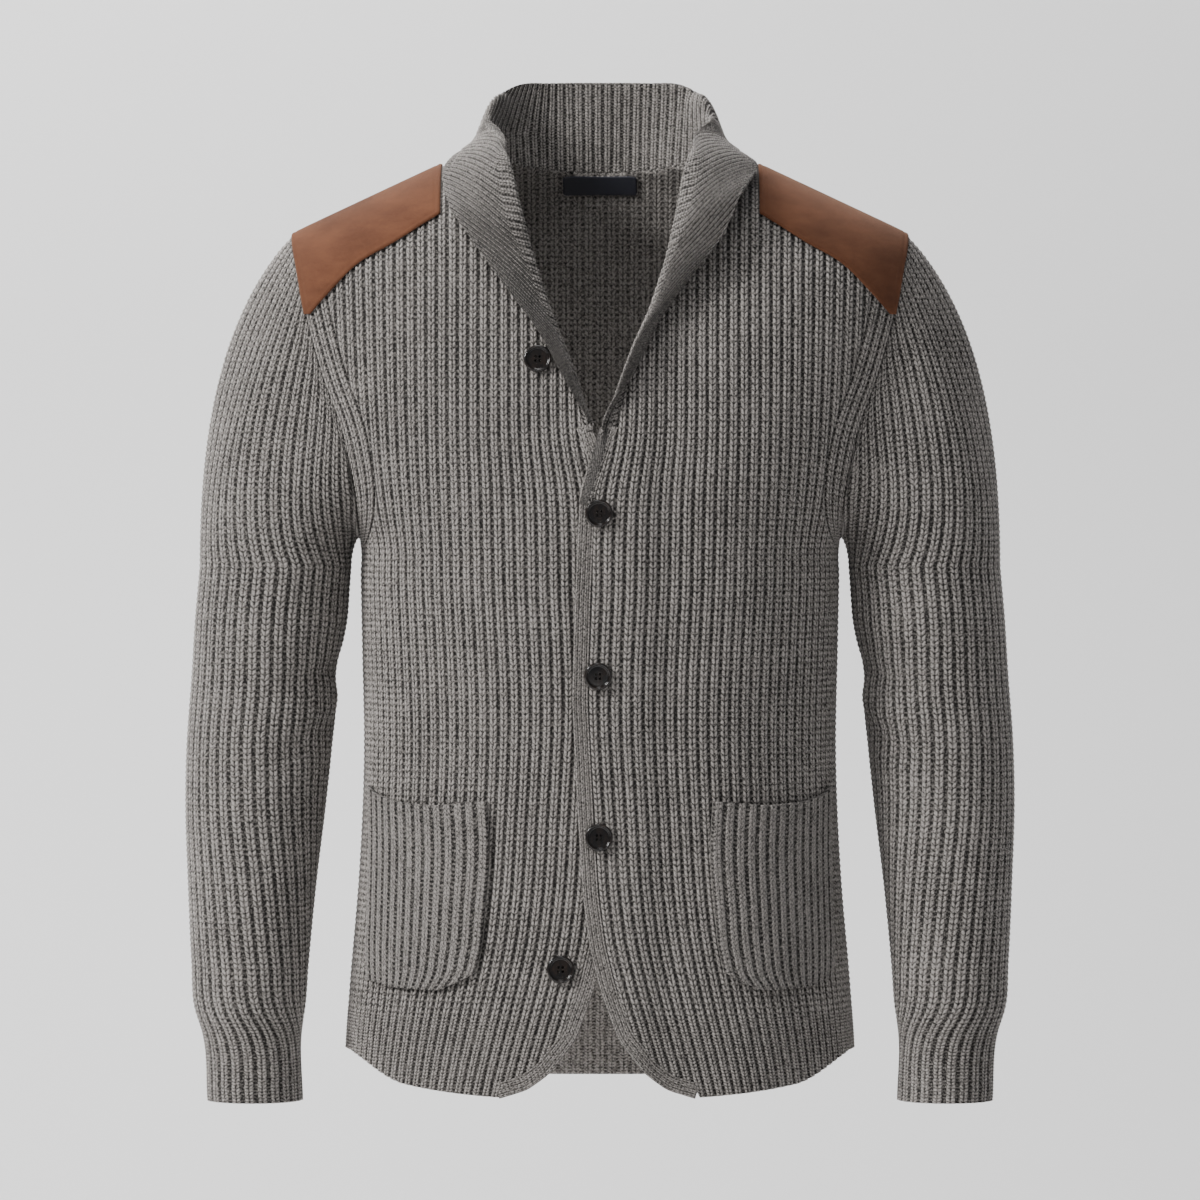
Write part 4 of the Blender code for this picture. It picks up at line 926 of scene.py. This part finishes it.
def sleeve_cap(places, half_girth):
    """The cloth from the armhole (row 0) to the tube (last row), at places round it."""
    first_z = SLEEVE[0][0]
    loop, loop_normals, away = armhole_edge(places / 2)
    loop_normals, away = unit(loop_normals), unit(away)
    turn = ring_turns(first_z, places * half_girth)
    ring = sleeve_ring(first_z, turn % 1.0)
    middle = np.array([(SLEEVE[0][1] + SLEEVE[0][2]) / 2, SLEEVE[0][3], first_z])
    outward = unit(ring - middle)
    near_arm = ease((np.abs(places) - 0.72) / 0.28)
    leave = away * np.array([1.0, 0.15, 1.0])
    leave[:, 2] -= (0.55 + 0.75 * (1 - np.abs(np.cos(2 * math.pi * turn)))) * (1 - near_arm)
    reach = np.linalg.norm(ring - loop, axis=1)
    size = (reach * (1 - near_arm) + 0.055 * near_arm)[:, None]
    leave, arrive = unit(leave) * size, np.array([0.0, 0.0, -1.0]) * size
    start = loop + away * 0.15 * MM
    t = np.linspace(0, 1, 90)[:, None, None]
    cap = (start * (1 + 2 * t) * (1 - t) ** 2 + leave * t * (1 - t) ** 2
           + ring * t * t * (3 - 2 * t) - arrive * t * t * (1 - t))
    facing = unit(np.cross(np.gradient(cap, axis=1), np.gradient(cap, axis=0)))
    facing *= np.sign((facing[-2] * outward).sum())
    near_ring, near_loop = ease((t - 0.88) / 0.12), ease((0.07 - t) / 0.07)
    facing = unit(facing * (1 - near_ring) * (1 - near_loop) + outward * near_ring
                  + loop_normals * near_loop)
    return cap, facing


def ribs_on_cap(cap, places, half_ribs):
    """The rib that passes each point: even round the tube, even from the ridge at the armhole."""
    ridge = cap[::-1, len(places) // 2]
    at_level = np.stack([np.interp(cap[0, :, 2], ridge[:, 2], ridge[:, k]) for k in range(3)], 1)
    a, b = np.abs(at_level - cap[0])[:, 0], np.abs(at_level - cap[0])[:, 1]
    arc = math.pi / 4 * (3 * (a + b) - np.sqrt((3 * a + b) * (a + 3 * b)))
    half = len(places) // 2
    grown = np.zeros(len(places))
    grown[half:] = np.maximum.accumulate(arc[half:])
    grown[:half + 1] = np.maximum.accumulate(arc[half::-1])[::-1]
    grown = np.where(places > 0, grown / grown[-1], grown / grown[0])
    at_armhole = half_ribs * (0.94 * grown + 0.06 * np.abs(places))
    share = np.linspace(0, 1, len(cap))[:, None] ** 0.8
    return np.sign(places) * (at_armhole * (1 - share) + half_ribs * np.abs(places) * share)


def sleeve_path():
    first_z, cuff_z = SLEEVE[0][0], SLEEVE[-1][0]
    half_girth = lengths_along(sleeve_ring(first_z, np.linspace(0, 0.5, 200)))[-1]
    half_ribs = int(round(half_girth / SLEEVE_PITCH))
    places = np.linspace(-1, 1, 401)
    cap, cap_facing = sleeve_cap(places, half_girth)
    cap_ribs = ribs_on_cap(cap, places, half_ribs)

    def columns(u):
        heights = np.linspace(cuff_z, first_z, 150)
        inside, outward = [], []
        for z in heights:
            ring = sleeve_ring(z, ring_turns(z, u * half_girth / half_ribs) % 1.0)
            middle = np.array([(smooth(SLEEVE, 1, z) + smooth(SLEEVE, 2, z)) / 2,
                               smooth(SLEEVE, 3, z), z])
            inside.append(ring)
            outward.append(unit(ring - middle))
        upper, upper_facing = np.zeros((2, len(cap), len(u), 3))
        for row in range(len(cap)):
            for k in range(3):
                upper[row, :, k] = np.interp(u, cap_ribs[row], cap[row, :, k])
                upper_facing[row, :, k] = np.interp(u, cap_ribs[row], cap_facing[row, :, k])
        points = np.concatenate([np.array(inside), upper[::-1][1:]])
        normals = unit(np.concatenate([np.array(outward), upper_facing[::-1][1:]]))
        pitch = ROW_CUFF + (ROW_SLEEVE - ROW_CUFF) * ease(
            (points[..., 2] - CUFF_TOP_Z) / 0.004 + 0.5)
        v = stitches_along(points, pitch)
        v -= v[np.searchsorted(heights, CUFF_TOP_Z)]
        return points, normals, v, v[0], v[-1], None

    return {"span": (-float(half_ribs), float(half_ribs)), "columns": columns}


for side_name, side in SIDES:
    sleeve = knit_piece("sleeve_%s_knit" % side_name, sleeve_path(), 4, WALL, RIB,
                        PANEL_FINISH, side, tube=True)
    dress(sleeve, ["sleeve_" + side_name], "rib_knit", flat=(0.38, 0.66), held="hung",
          rests_on=["front_%s_knit" % side_name, "back_knit"], area=0.185)

# %% [markdown]
# ## Collar
#
# The shawl collar is one strip in a finer rib. It stands up round the neck, rolls over at
# its crest and lies back on the fronts as two lapels, which thin out to nothing where the
# front closes. Each cross-section is a curve from the neck seam round the roll to the free
# edge, and the strip is drawn through all of them.

# %% Tables of the collar
COLLAR_WALL, COLLAR_RIB, COLLAR_END_GAP = 2.8 * MM, 1.2 * MM, 1.4 * MM
COLLAR_TROUGH = 0.9 * MM
STAND_OPEN = 3.5 * MM     # how wide the roll opens beside the neck
LAPEL_CLIMB = 46 * MM     # a lapel's ribs climb so far towards the neck from roll to edge
LAPEL_END_FADE = 22 * MM  # over which the ribs sink at a lapel's end
LAPEL_BORDER, LAPEL_GROOVE = 6.8 * MM, 0.9 * MM   # a flatter border along the free edge
ROW_COLLAR = 2.3 * MM
COLLAR_SHARES = np.linspace(0, 1, 49)
# columns: seam_x, roll_x, roll_y, roll_z, edge_x, edge_y, edge_z
STAND = (
    (0.0, 0.0, 77.0, 38.0, 0.0, 81.0, 72.6),
    (32.0, 32.5, 74.5, 38.5, 33.5, 79.0, 72.2),
    (58.0, 60.0, 60.0, 41.0, 62.0, 66.0, 69.5),
    (77.0, 75.5, 38.0, 56.5, 83.0, 47.0, 52.0),
    (88.0, 83.0, 7.0, 39.5, 96.0, 22.0, 20.0),
)
# columns: seam_z, roll_x, roll_z, edge_x, edge_z, edge_lift, roll_lift
LAPEL_RIGHT = (
    (0.000, 0.0690, 0.018, 0.1050, 0.002, 0.0086, 0.0130),
    (-0.015, 0.0650, -0.004, 0.1120, -0.012, 0.0084, 0.0130),
    (-0.044, 0.0565, -0.042, 0.1065, -0.036, 0.0088, 0.0134),
    (-0.070, 0.0490, -0.070, 0.0900, -0.061, 0.0093, 0.0134),
    (-0.106, 0.0370, -0.106, 0.0680, -0.092, 0.0087, 0.0122),
    (-0.135, 0.0245, -0.137, 0.0440, -0.125, 0.0084, 0.0115),
    (-0.168, 0.0128, -0.170, 0.0262, -0.158, 0.0084, 0.0105),
    (-0.184, 0.0070, -0.186, 0.0120, -0.182, 0.0070, 0.0080),
)
LAPEL_LEFT = (
    (0.000, 0.0680, 0.018, 0.1050, 0.002, 0.0088, 0.0140),
    (-0.015, 0.0620, -0.004, 0.1105, -0.010, 0.0120, 0.0160),
    (-0.044, 0.0545, -0.045, 0.0970, -0.033, 0.0240, 0.0200),
    (-0.070, 0.0485, -0.071, 0.0870, -0.057, 0.0210, 0.0190),
    (-0.106, 0.0370, -0.106, 0.0660, -0.086, 0.0170, 0.0170),
    (-0.135, 0.0240, -0.136, 0.0455, -0.114, 0.0140, 0.0150),
    (-0.168, 0.0115, -0.170, 0.0260, -0.152, 0.0100, 0.0120),
    (-0.186, 0.0040, -0.187, 0.0085, -0.182, 0.0070, 0.0080),
    (-0.210, 0.0020, -0.210, -0.0040, -0.210, 0.0017, 0.0034),
)


# %% Cross-sections of the collar
def bezier(points, shares):
    t = np.asarray(shares)[:, None]
    a, b, c, d = points
    return a * (1 - t) ** 3 + 3 * b * t * (1 - t) ** 2 + 3 * c * t * t * (1 - t) + d * t ** 3


def fold_curve(seam, roll, edge, open_by):
    beyond = roll + (roll - (seam + edge) / 2) / 3
    return bezier((seam, beyond - open_by, beyond + open_by, edge), np.linspace(0, 1, 80))


def stand_section(row):
    seam_x, rx, ry, rz, ex, ey, ez = (v * MM for v in row)
    seam, _ = body_points(seam_x, back_high(seam_x), True)
    if seam_x >= NECK_SIDE_X:
        seam[1] = 0.0
    roll, edge = np.array([rx, ry, rz]), np.array([ex, ey, ez])
    folded = ease((0.072 - ez) / 0.010)
    lean = unit(edge - roll) * np.array([1.0, 1.0, 0.0]) * STAND_OPEN * folded
    return resample(fold_curve(seam, roll, edge, lean), COLLAR_SHARES)


def lapel_section(row, over):
    seam_z, roll_x, roll_z, edge_x, edge_z, edge_lift, roll_lift = row
    rows = np.array(NECKLINE)
    seam = np.array([np.interp(seam_z, rows[:, 0], rows[:, 1]), seam_z, 0.0])
    roll = np.array([roll_x, roll_z, roll_lift / 2])
    edge = np.array([edge_x, edge_z, edge_lift])
    curve = fold_curve(seam, roll, edge, np.array([0.0, 0.0, roll_lift / 2]))
    x, z, lift = curve.T
    points, _ = front_points(x, z, over, np.maximum(lift, 0.0))
    return resample(points, COLLAR_SHARES)


def break_section(over):
    """The lapel's end: flat above the edge band, from the front's border to the edge."""
    shift = BAND_WIDTH + (0.0 if over else UNDER_EDGE_SHIFT)
    z = np.linspace(-0.25, -0.15, 400)
    x = smooth(RIB_LINE, 1, z) + shift
    first = np.argmax(front_high(x) < z)
    inner = np.array([x[first], z[first]])
    edge = edge_line(over)
    outer = edge[np.argmin(np.linalg.norm(edge - inner, axis=1))]
    line = inner + (outer - inner) * COLLAR_SHARES[:, None]
    lift = np.minimum(COLLAR_SHARES / 0.22, 1.0) * 1.4 * COLLAR_RIB
    points, _ = front_points(line[:, 0], line[:, 1] + COLLAR_END_GAP, over, lift)
    return points


def spline_rows(rows, at):
    slopes = np.gradient(rows, axis=0)
    i = np.clip(np.floor(at).astype(int), 0, len(rows) - 2)
    t = (at - i).reshape((-1,) + (1,) * (rows.ndim - 1))
    a, b, da, db = rows[i], rows[i + 1], slopes[i], slopes[i + 1]
    return (a * (1 + 2 * t) * (1 - t) ** 2 + b * t * t * (3 - 2 * t)
            + da * t * (1 - t) ** 2 - db * t * t * (1 - t))


def neck_border():
    """A fine line along the panels' neck border, right side to left side."""
    lines = []
    for side in (-1.0, 1.0):
        over = side > 0
        xb = np.linspace(0, NECK_SIDE_X, 120)
        pb, _ = body_points(xb, back_high(xb), True)
        rows = np.array(NECKLINE)
        zf = np.linspace(rows[-1, 0], rows[0, 0], 200)
        xf = np.interp(zf, rows[:, 0], rows[:, 1])
        pf, _ = front_points(xf, zf, over, np.zeros(len(xf)))
        pb[-1, 1] = pf[0, 1] = 0.0
        lines.append(mirrored(np.concatenate([pb, pf]), side))
    return np.concatenate([lines[0][::-1], lines[1]])


# %% The collar's columns and shell
def collar_grid():
    sections = []
    for side, table in ((-1.0, LAPEL_RIGHT), (1.0, LAPEL_LEFT)):
        over = side > 0
        made = [stand_section(row) for row in STAND]
        made += [lapel_section(row, over) for row in table]
        made.append(break_section(over))
        sections.append([mirrored(p, side) for p in made])
    points = np.array(sections[0][::-1][:-1] + sections[1])
    at = np.linspace(0, len(points) - 1, 1200)
    fine = spline_rows(points, at)
    s = lengths_along(fine[:, len(COLLAR_SHARES) // 2])
    border = neck_border()
    move = np.zeros((len(at), 3))
    for i, p in enumerate(fine[:, 0]):
        nearest = border[np.argmin(((border - p) ** 2).sum(1))]
        move[i] = nearest - p
    fine = fine + move[:, None, :] * ((1 - COLLAR_SHARES) ** 4)[None, :, None]
    up, along = np.gradient(fine, axis=1), np.gradient(fine, axis=0)
    facing = unit(np.cross(up, along))
    facing *= -np.sign(facing[len(at) // 2, 0, 1])
    return fine, facing, s


COLLAR_FINE, COLLAR_FACING, COLLAR_S = collar_grid()
COLLAR_RIBS = int(round(COLLAR_S[-1] / COLLAR_PITCH))


def collar_path():
    full = COLLAR_S[-1]
    extra = LAPEL_CLIMB / full * COLLAR_RIBS

    def columns(u):
        along = (u / COLLAR_RIBS * full)[None, :]
        climb = LAPEL_CLIMB * np.clip((COLLAR_SHARES - 0.4) / 0.6, 0, 1)[:, None]
        on_lapel = ease((np.abs(along - full / 2) - 0.05) / 0.13)
        place = along + np.sign(full / 2 - along) * climb * on_lapel
        at = np.clip(place, 0, full)
        points, normals = np.zeros((2,) + at.shape + (3,))
        for r in range(len(COLLAR_SHARES)):
            for k in range(3):
                points[r, :, k] = np.interp(at[r], COLLAR_S, COLLAR_FINE[:, r, k])
                normals[r, :, k] = np.interp(at[r], COLLAR_S, COLLAR_FACING[:, r, k])
        v = stitches_along(points, np.full(points.shape[:2], ROW_COLLAR))
        outside = (place < 0) | (place > full)
        start = np.maximum(outside.sum(0) - 1, 0)
        low = v[start, np.arange(len(u))]
        kept = ease(np.minimum(at, full - at) / LAPEL_END_FADE) * 0.8 + 0.2
        return points, unit(normals), v, low, v[-1], kept
    return {"span": (-extra, COLLAR_RIBS + extra), "columns": columns}


def make_collar():
    """Both faces of the collar are seen, so both carry stitches."""
    shell = Shell()
    path = collar_path()
    u = rib_places(*path["span"], 4)
    p, n, uv, left = knit_rows(u, *path["columns"](u), 2)
    on_lapel = ease((np.abs(u / COLLAR_RIBS - 0.5) * COLLAR_S[-1] - 0.12) / 0.05)
    from_edge = (uv[..., 1].max(0) - uv[..., 1]) * ROW_COLLAR
    border = ease((LAPEL_BORDER + 0.8 * MM - from_edge) / (1.5 * MM)) * on_lapel
    groove = LAPEL_GROOVE * np.exp(-((from_edge - LAPEL_BORDER) / (1.2 * MM)) ** 2) * on_lapel
    relief = stitch_relief(uv[..., 0], uv[..., 1]) * left
    lift = (COLLAR_RIB + COLLAR_TROUGH) * relief - COLLAR_TROUGH * left
    lift = lift * (1 - 0.5 * border) - groove
    face = shell.add(p + n * lift[..., None], uv)
    q, m, uv_back, _ = knit_rows(u, *path["columns"](u), 1)
    uv_back = uv_back + np.array([0.5, 0.0])
    depth = COLLAR_WALL - 0.6 * MM + 0.8 * MM * stitch_relief(uv_back[..., 0], uv_back[..., 1])
    rear = shell.add(q - m * depth[..., None], uv_back)
    shell.close(face, rear)
    return shell.mesh("collar_knit", [fine_wool])


collar = make_collar()
dress(collar, ["collar"], "rib_knit", flat=(0.11, 0.94), held="folded",
      rests_on=["back_knit", "front_right_knit", "front_left_knit"], area=0.075)

# %% [markdown]
# ## Pockets
#
# Each patch pocket is a separate piece of a finer rib, laid on the front and sewn down at
# its sides and floor. Its mouth has a close edge, and its inner corner is round.

# %% Pockets
# columns: z, inner_x, outer_x
POCKET = (
    (-0.6000, 0.1000, 0.1640), (-0.5900, 0.0905, 0.1655), (-0.5750, 0.0855, 0.1660),
    (-0.5400, 0.0815, 0.1650), (-0.5000, 0.0785, 0.1640), (-0.4550, 0.0805, 0.1640),
)
POCKET_MOUTH = ((0.0, -0.4625), (0.35, -0.4660), (0.65, -0.4640), (0.88, -0.4590), (1.0, -0.4530))
POCKET_FLOOR = ((0.0, -0.5860), (0.08, -0.5940), (0.20, -0.6000), (0.6, -0.5990), (1.0, -0.5945))
POCKET_RIB, ROW_POCKET = 0.9 * MM, 3.3 * MM


def pocket_path():
    mouth, floor = np.array(POCKET_MOUTH), np.array(POCKET_FLOOR)

    def columns(u):
        share = u / POCKET_RIBS
        top = np.interp(share, mouth[:, 0], mouth[:, 1])
        low = np.interp(share, floor[:, 0], floor[:, 1])
        up = np.linspace(0, 1, 90)[:, None]
        z = low + (top - low) * up
        inner, outer, half = (smooth(t, k, z) for t, k in ((POCKET, 1), (POCKET, 2), (BODY, 1)))
        first, last = np.arcsin(inner / half), np.arcsin(outer / half)
        x = half * np.sin(first + (last - first) * share)
        points, normals = body_points(x, z, False)
        points = points + normals * (WALL + RIB + LAID_GAP)
        v = stitches_along(points, np.full(x.shape, ROW_POCKET))
        return points, normals, v, v[0], v[-1], None

    return {"span": (0.0, float(POCKET_RIBS)), "columns": columns}


for side_name, side in SIDES:
    pocket = knit_piece("pocket_%s_knit" % side_name, pocket_path(), 6, WALL, POCKET_RIB,
                        [pocket_wool, inside_wool], side, inside_relief=0.2 * MM)
    dress(pocket, ["pocket_" + side_name], "rib_knit", flat=(0.105, 0.135), held="stretched",
          rests_on=["front_%s_knit" % side_name])

# %% [markdown]
# ## Shoulder patches
#
# Suede is leather with its flesh side out: a short matt nap that shows darker and lighter
# strokes where it was brushed. The patch is a curved sheet over the shoulder, rounded at
# its edge and sewn down a few millimetres inside it.

# %% The suede
SUEDE_BRUSHED = (0.168, 0.068, 0.035, 1.0)
SUEDE_DEEP = (0.066, 0.024, 0.0128, 1.0)


def suede_finish():
    material, tree, shader = new_finish("suede_nap", 0.95, 0.14, (1.0, 0.70, 0.52, 1.0), 0.1)
    nap = noise(tree, 1400.0, 3.0, 0.7)
    strokes = noise(tree, 24.0, 4.0, 0.6, stretch=(1.0, 1.0, 2.2))
    cloud = noise(tree, 9.0, 2.0, 0.5)
    tone = strokes * 0.75 + cloud * 0.45 + (nap - 0.5) * 0.5 - 0.10
    colour = blend_colours(tree, tone.step(0.15, 0.85), SUEDE_DEEP, SUEDE_BRUSHED)
    tree.links.new(colour, shader.inputs["Base Color"])
    raise_surface(tree, shader, nap + strokes * 0.6, 0.35 * MM)
    return material


suede = suede_finish()
PATCH_EDGE = (
    (0.100, -0.0290), (0.109, -0.0350), (0.124, -0.0450), (0.144, -0.0580),
    (0.176, -0.0760), (0.195, -0.0920), (0.214, -0.1080),
)
PATCH_NECK_X, PATCH_ARM_GAP, PATCH_MIDDLE_Z = 0.1145, 0.8 * MM, -0.080
SUEDE_WALL = 1.4 * MM


# %% The patches
def patch_lines(shares, count):
    """Columns over the shoulder, from the front's lower edge to the back's."""
    points, normals = [], []
    for share in shares:
        def x_at(z):
            arm = smooth(ARMHOLE, 1, z) - PATCH_ARM_GAP
            return PATCH_NECK_X + (arm - PATCH_NECK_X) * share
        low = float(smooth(PATCH_EDGE, 1, x_at(PATCH_MIDDLE_Z)))
        high = float(shoulder_z(x_at(0.0)))
        z = high - (high - low) * np.linspace(0, 1, 120)[::-1] ** 2
        sides = []
        for back in (False, True):
            p, n = body_points(x_at(z), z, back)
            p[-1, 1] = n[-1, 1] = 0.0
            sides.append((p, unit(n)))
        line = np.concatenate([sides[0][0], sides[1][0][::-1][1:]])
        facing = np.concatenate([sides[0][1], sides[1][1][::-1][1:]])
        s = lengths_along(line)
        at = np.linspace(0, s[-1], count)
        points.append(read_along(line, s, at))
        normals.append(unit(read_along(facing, s, at)))
    return np.array(points).transpose(1, 0, 2), np.array(normals).transpose(1, 0, 2)


def make_patch(side_name, side):
    shell = Shell()
    shares = np.linspace(0, 1, 90)
    p, n = patch_lines(shares, 130)
    width = np.linalg.norm(p[:, 0] - p[:, -1], axis=1)[:, None]
    length = lengths_along(p)
    across = np.minimum(shares, 1 - shares)[None, :] * width
    along = np.minimum(length, length[-1] - length)
    border = np.minimum(across, along)
    rounded = 0.9 * MM * (1 - np.sqrt(np.clip(1 - (1 - border / (1.6 * MM)).clip(0) ** 2, 0, 1)))
    seam = 0.55 * MM * np.exp(-((border - 3.6 * MM) / (0.7 * MM)) ** 2)
    lift = WALL + RIB + LAID_GAP + SUEDE_WALL - rounded - seam
    uv = np.stack([np.broadcast_to(shares * 0.11, p.shape[:2]), length], -1)
    top = shell.add(p + n * lift[..., None], uv)
    pick = np.linspace(0, len(shares) - 1, 30).astype(int), np.linspace(0, 129, 44).astype(int)
    q = (p + n * (WALL + RIB + LAID_GAP))[pick[1]][:, pick[0]]
    under = shell.add(q, uv[pick[1]][:, pick[0]])
    shell.close(top, under)
    patch = shell.mesh("shoulder_patch_%s_suede" % side_name, [suede], side)
    dress(patch, ["shoulder_patch_" + side_name], "suede", flat=(0.115, 0.24), held="laid",
          rests_on=["front_%s_knit" % side_name, "back_knit"], area=0.020)


for side_name, side in SIDES:
    make_patch(side_name, side)

# %% [markdown]
# ## Neck label
#
# A small plain tab of dark satin is sewn inside the back, under the collar seam. It is
# left blank.

# %% The label
LABEL_HALF, LABEL_LOW, LABEL_TOP = 0.028, -0.0112, 0.0023
LABEL_CORNER = 1.6 * MM
LABEL_REAR, LABEL_FACE = 1.2 * MM, 1.95 * MM   # how far they lie inwards from the back


def label_finish():
    material, tree, shader = new_finish("label_satin", 0.48, 0.2, (0.6, 0.65, 0.9, 1.0), 0.5)
    u, v = uv_numbers(tree)
    weave = (u * 2200.0).wave() * 0.5 + (v * 2600.0 + u * 900.0).wave() * 0.5
    speck = noise(tree, 900.0)
    colour = blend_colours(tree, speck, (0.008, 0.008, 0.014, 1.0), (0.016, 0.016, 0.026, 1.0))
    tree.links.new(colour, shader.inputs["Base Color"])
    raise_surface(tree, shader, weave * 0.5 + 0.5, 0.06 * MM)
    return material


def make_label():
    shell = Shell()
    across = np.linspace(-1, 1, 61)
    x = LABEL_HALF * across
    up = np.linspace(0, 1, 21)
    corner = LABEL_CORNER * (1 - np.sqrt(np.clip(
        1 - ((np.abs(x) - (LABEL_HALF - LABEL_CORNER)).clip(0) / LABEL_CORNER) ** 2, 0, 1)))
    low, top = LABEL_LOW + corner, LABEL_TOP - corner
    z = low + (top - low) * up[:, None]
    xx = np.broadcast_to(x, z.shape)
    p, n = body_points(xx, z, True)
    uv = np.stack([xx, z], -1)
    border = np.minimum(np.minimum(z - low, top - z), (LABEL_HALF - np.abs(xx)))
    crown = 0.3 * MM * ease(border / (1.2 * MM))
    face = shell.add(p - n * (LABEL_FACE + crown)[..., None], uv)
    rear = shell.add((p - n * LABEL_REAR)[::4, ::6], uv[::4, ::6])
    shell.close(face, rear)
    return shell.mesh("neck_label_satin", [label_finish()])


label = make_label()
dress(label, ["neck_label"], "label_cloth", flat=(0.056, 0.0135), held="stretched",
      rests_on=["back_knit"])

# %% [markdown]
# ## Buttons
#
# A jacket button is turned from a disc: a raised rounded rim, a sunken middle and four
# drilled holes, sewn on with a few turns of dark thread. One is modelled from a circle,
# ring by ring, and copied to the five places.

# %% Turning one button
BUTTON_RADIUS, BUTTON_HEIGHT = 10.0 * MM, 3.4 * MM
# columns: share of the radius, share of the height, from the back's edge over the rim
BUTTON_TURNING = (
    (0.86, 0.0), (0.95, 0.08), (1.0, 0.32), (0.995, 0.66), (0.97, 0.88), (0.93, 0.99),
    (0.87, 1.0), (0.825, 0.95), (0.795, 0.80), (0.775, 0.58), (0.74, 0.50), (0.68, 0.50),
    (0.55, 0.54), (0.36, 0.55),
)
HOLE_RADIUS, HOLE_OUT = 0.95 * MM, 2.1 * MM
BUTTONS = (
    ("button_collar", "right", -0.0446, -0.1440), ("button_upper", "left", -0.0007, -0.2544),
    ("button_middle", "left", -0.0014, -0.3710), ("button_lower", "left", -0.0007, -0.4884),
    ("button_hem", "right", -0.0281, -0.5836),
)


def deselect():
    if bpy.context.object and bpy.context.object.mode != "OBJECT":
        bpy.ops.object.mode_set(mode="OBJECT")
    bpy.ops.object.select_all(action="DESELECT")


def horn_finish():
    material, tree, shader = new_finish("horn_dark", 0.17, specular=0.6)
    streak = noise(tree, 220.0, 4.0, 0.6, stretch=(1.0, 3.0, 0.4))
    fine = noise(tree, 1500.0, 2.0, 0.6)
    tone = streak + (fine - 0.5) * 0.3
    colour = blend_colours(tree, tone.step(0.35, 0.80), (0.005, 0.004, 0.0035, 1.0),
                           (0.020, 0.012, 0.008, 1.0))
    tree.links.new(colour, shader.inputs["Base Color"])
    raise_surface(tree, shader, fine, 0.02 * MM)
    return material


def turn_button():
    """Extrudes and scales a circle ring by ring along the turning table."""
    deselect()
    bpy.ops.mesh.primitive_circle_add(vertices=64, radius=BUTTON_RADIUS * BUTTON_TURNING[0][0],
                                      fill_type="NOTHING", location=(0, 0, 0))
    disc = bpy.context.object
    bpy.ops.object.mode_set(mode="EDIT")
    bpy.ops.mesh.select_all(action="SELECT")
    for (r0, h0), (r1, h1) in zip(BUTTON_TURNING[:-1], BUTTON_TURNING[1:]):
        bpy.ops.mesh.extrude_region_move(
            TRANSFORM_OT_translate={"value": (0, 0, (h1 - h0) * BUTTON_HEIGHT)})
        bpy.ops.transform.resize(value=(r1 / r0, r1 / r0, 1.0))
    bpy.ops.mesh.edge_face_add()
    bpy.ops.object.mode_set(mode="OBJECT")
    bpy.ops.object.mode_set(mode="EDIT")
    bpy.ops.mesh.select_all(action="SELECT")
    bpy.ops.mesh.region_to_loop()
    bpy.ops.mesh.edge_face_add()
    bpy.ops.mesh.select_all(action="SELECT")
    bpy.ops.mesh.normals_make_consistent(inside=False)
    bpy.ops.object.mode_set(mode="OBJECT")
    return disc


def drill(disc):
    for k in range(4):
        angle = math.radians(45 + 90 * k)
        deselect()
        bpy.ops.mesh.primitive_cylinder_add(
            vertices=20, radius=HOLE_RADIUS, depth=4 * BUTTON_HEIGHT,
            location=(HOLE_OUT * math.cos(angle), HOLE_OUT * math.sin(angle), 0))
        bit = bpy.context.object
        deselect()
        disc.select_set(True)
        bpy.context.view_layer.objects.active = disc
        cut = disc.modifiers.new("drill", "BOOLEAN")
        cut.operation, cut.solver, cut.object = "DIFFERENCE", "EXACT", bit
        bpy.ops.object.modifier_apply(modifier=cut.name)
        bpy.data.objects.remove(bit, do_unlink=True)


button_model = turn_button()
drill(button_model)
print("button turned:", len(button_model.data.polygons), "faces")


# %% Placing the five
def cloth_place(front, world_x, z):
    """The point of a front's rib crests under a button, and the way it looks."""
    side = 1.0 if front == "left" else -1.0
    p, n = front_points(np.array(world_x * side), np.array(z), front == "left",
                        np.array(WALL + RIB + LAID_GAP))
    return mirrored(p, side), mirrored(n, side)


horn = horn_finish()
button_model.data.materials.clear()
button_model.data.materials.append(horn)
for name, front, x, z in BUTTONS:
    place, normal = cloth_place(front, x, z)
    button = bpy.data.objects.new(name + "_turned", button_model.data.copy())
    bpy.context.scene.collection.objects.link(button)
    z_axis = unit(normal)
    x_axis = unit(np.cross([0.0, 0.0, 1.0], z_axis))
    y_axis = np.cross(z_axis, x_axis)
    co = np.zeros(len(button.data.vertices) * 3)
    button.data.vertices.foreach_get("co", co)
    co = co.reshape(-1, 3) @ np.array([x_axis, y_axis, z_axis]) + place
    button.data.vertices.foreach_set("co", co.reshape(-1))
    button.data.update()
    button.data.shade_smooth()
    button.data.set_sharp_from_angle(angle=math.radians(40))
    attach(button, "root")
    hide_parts(name)
bpy.data.objects.remove(button_model, do_unlink=True)
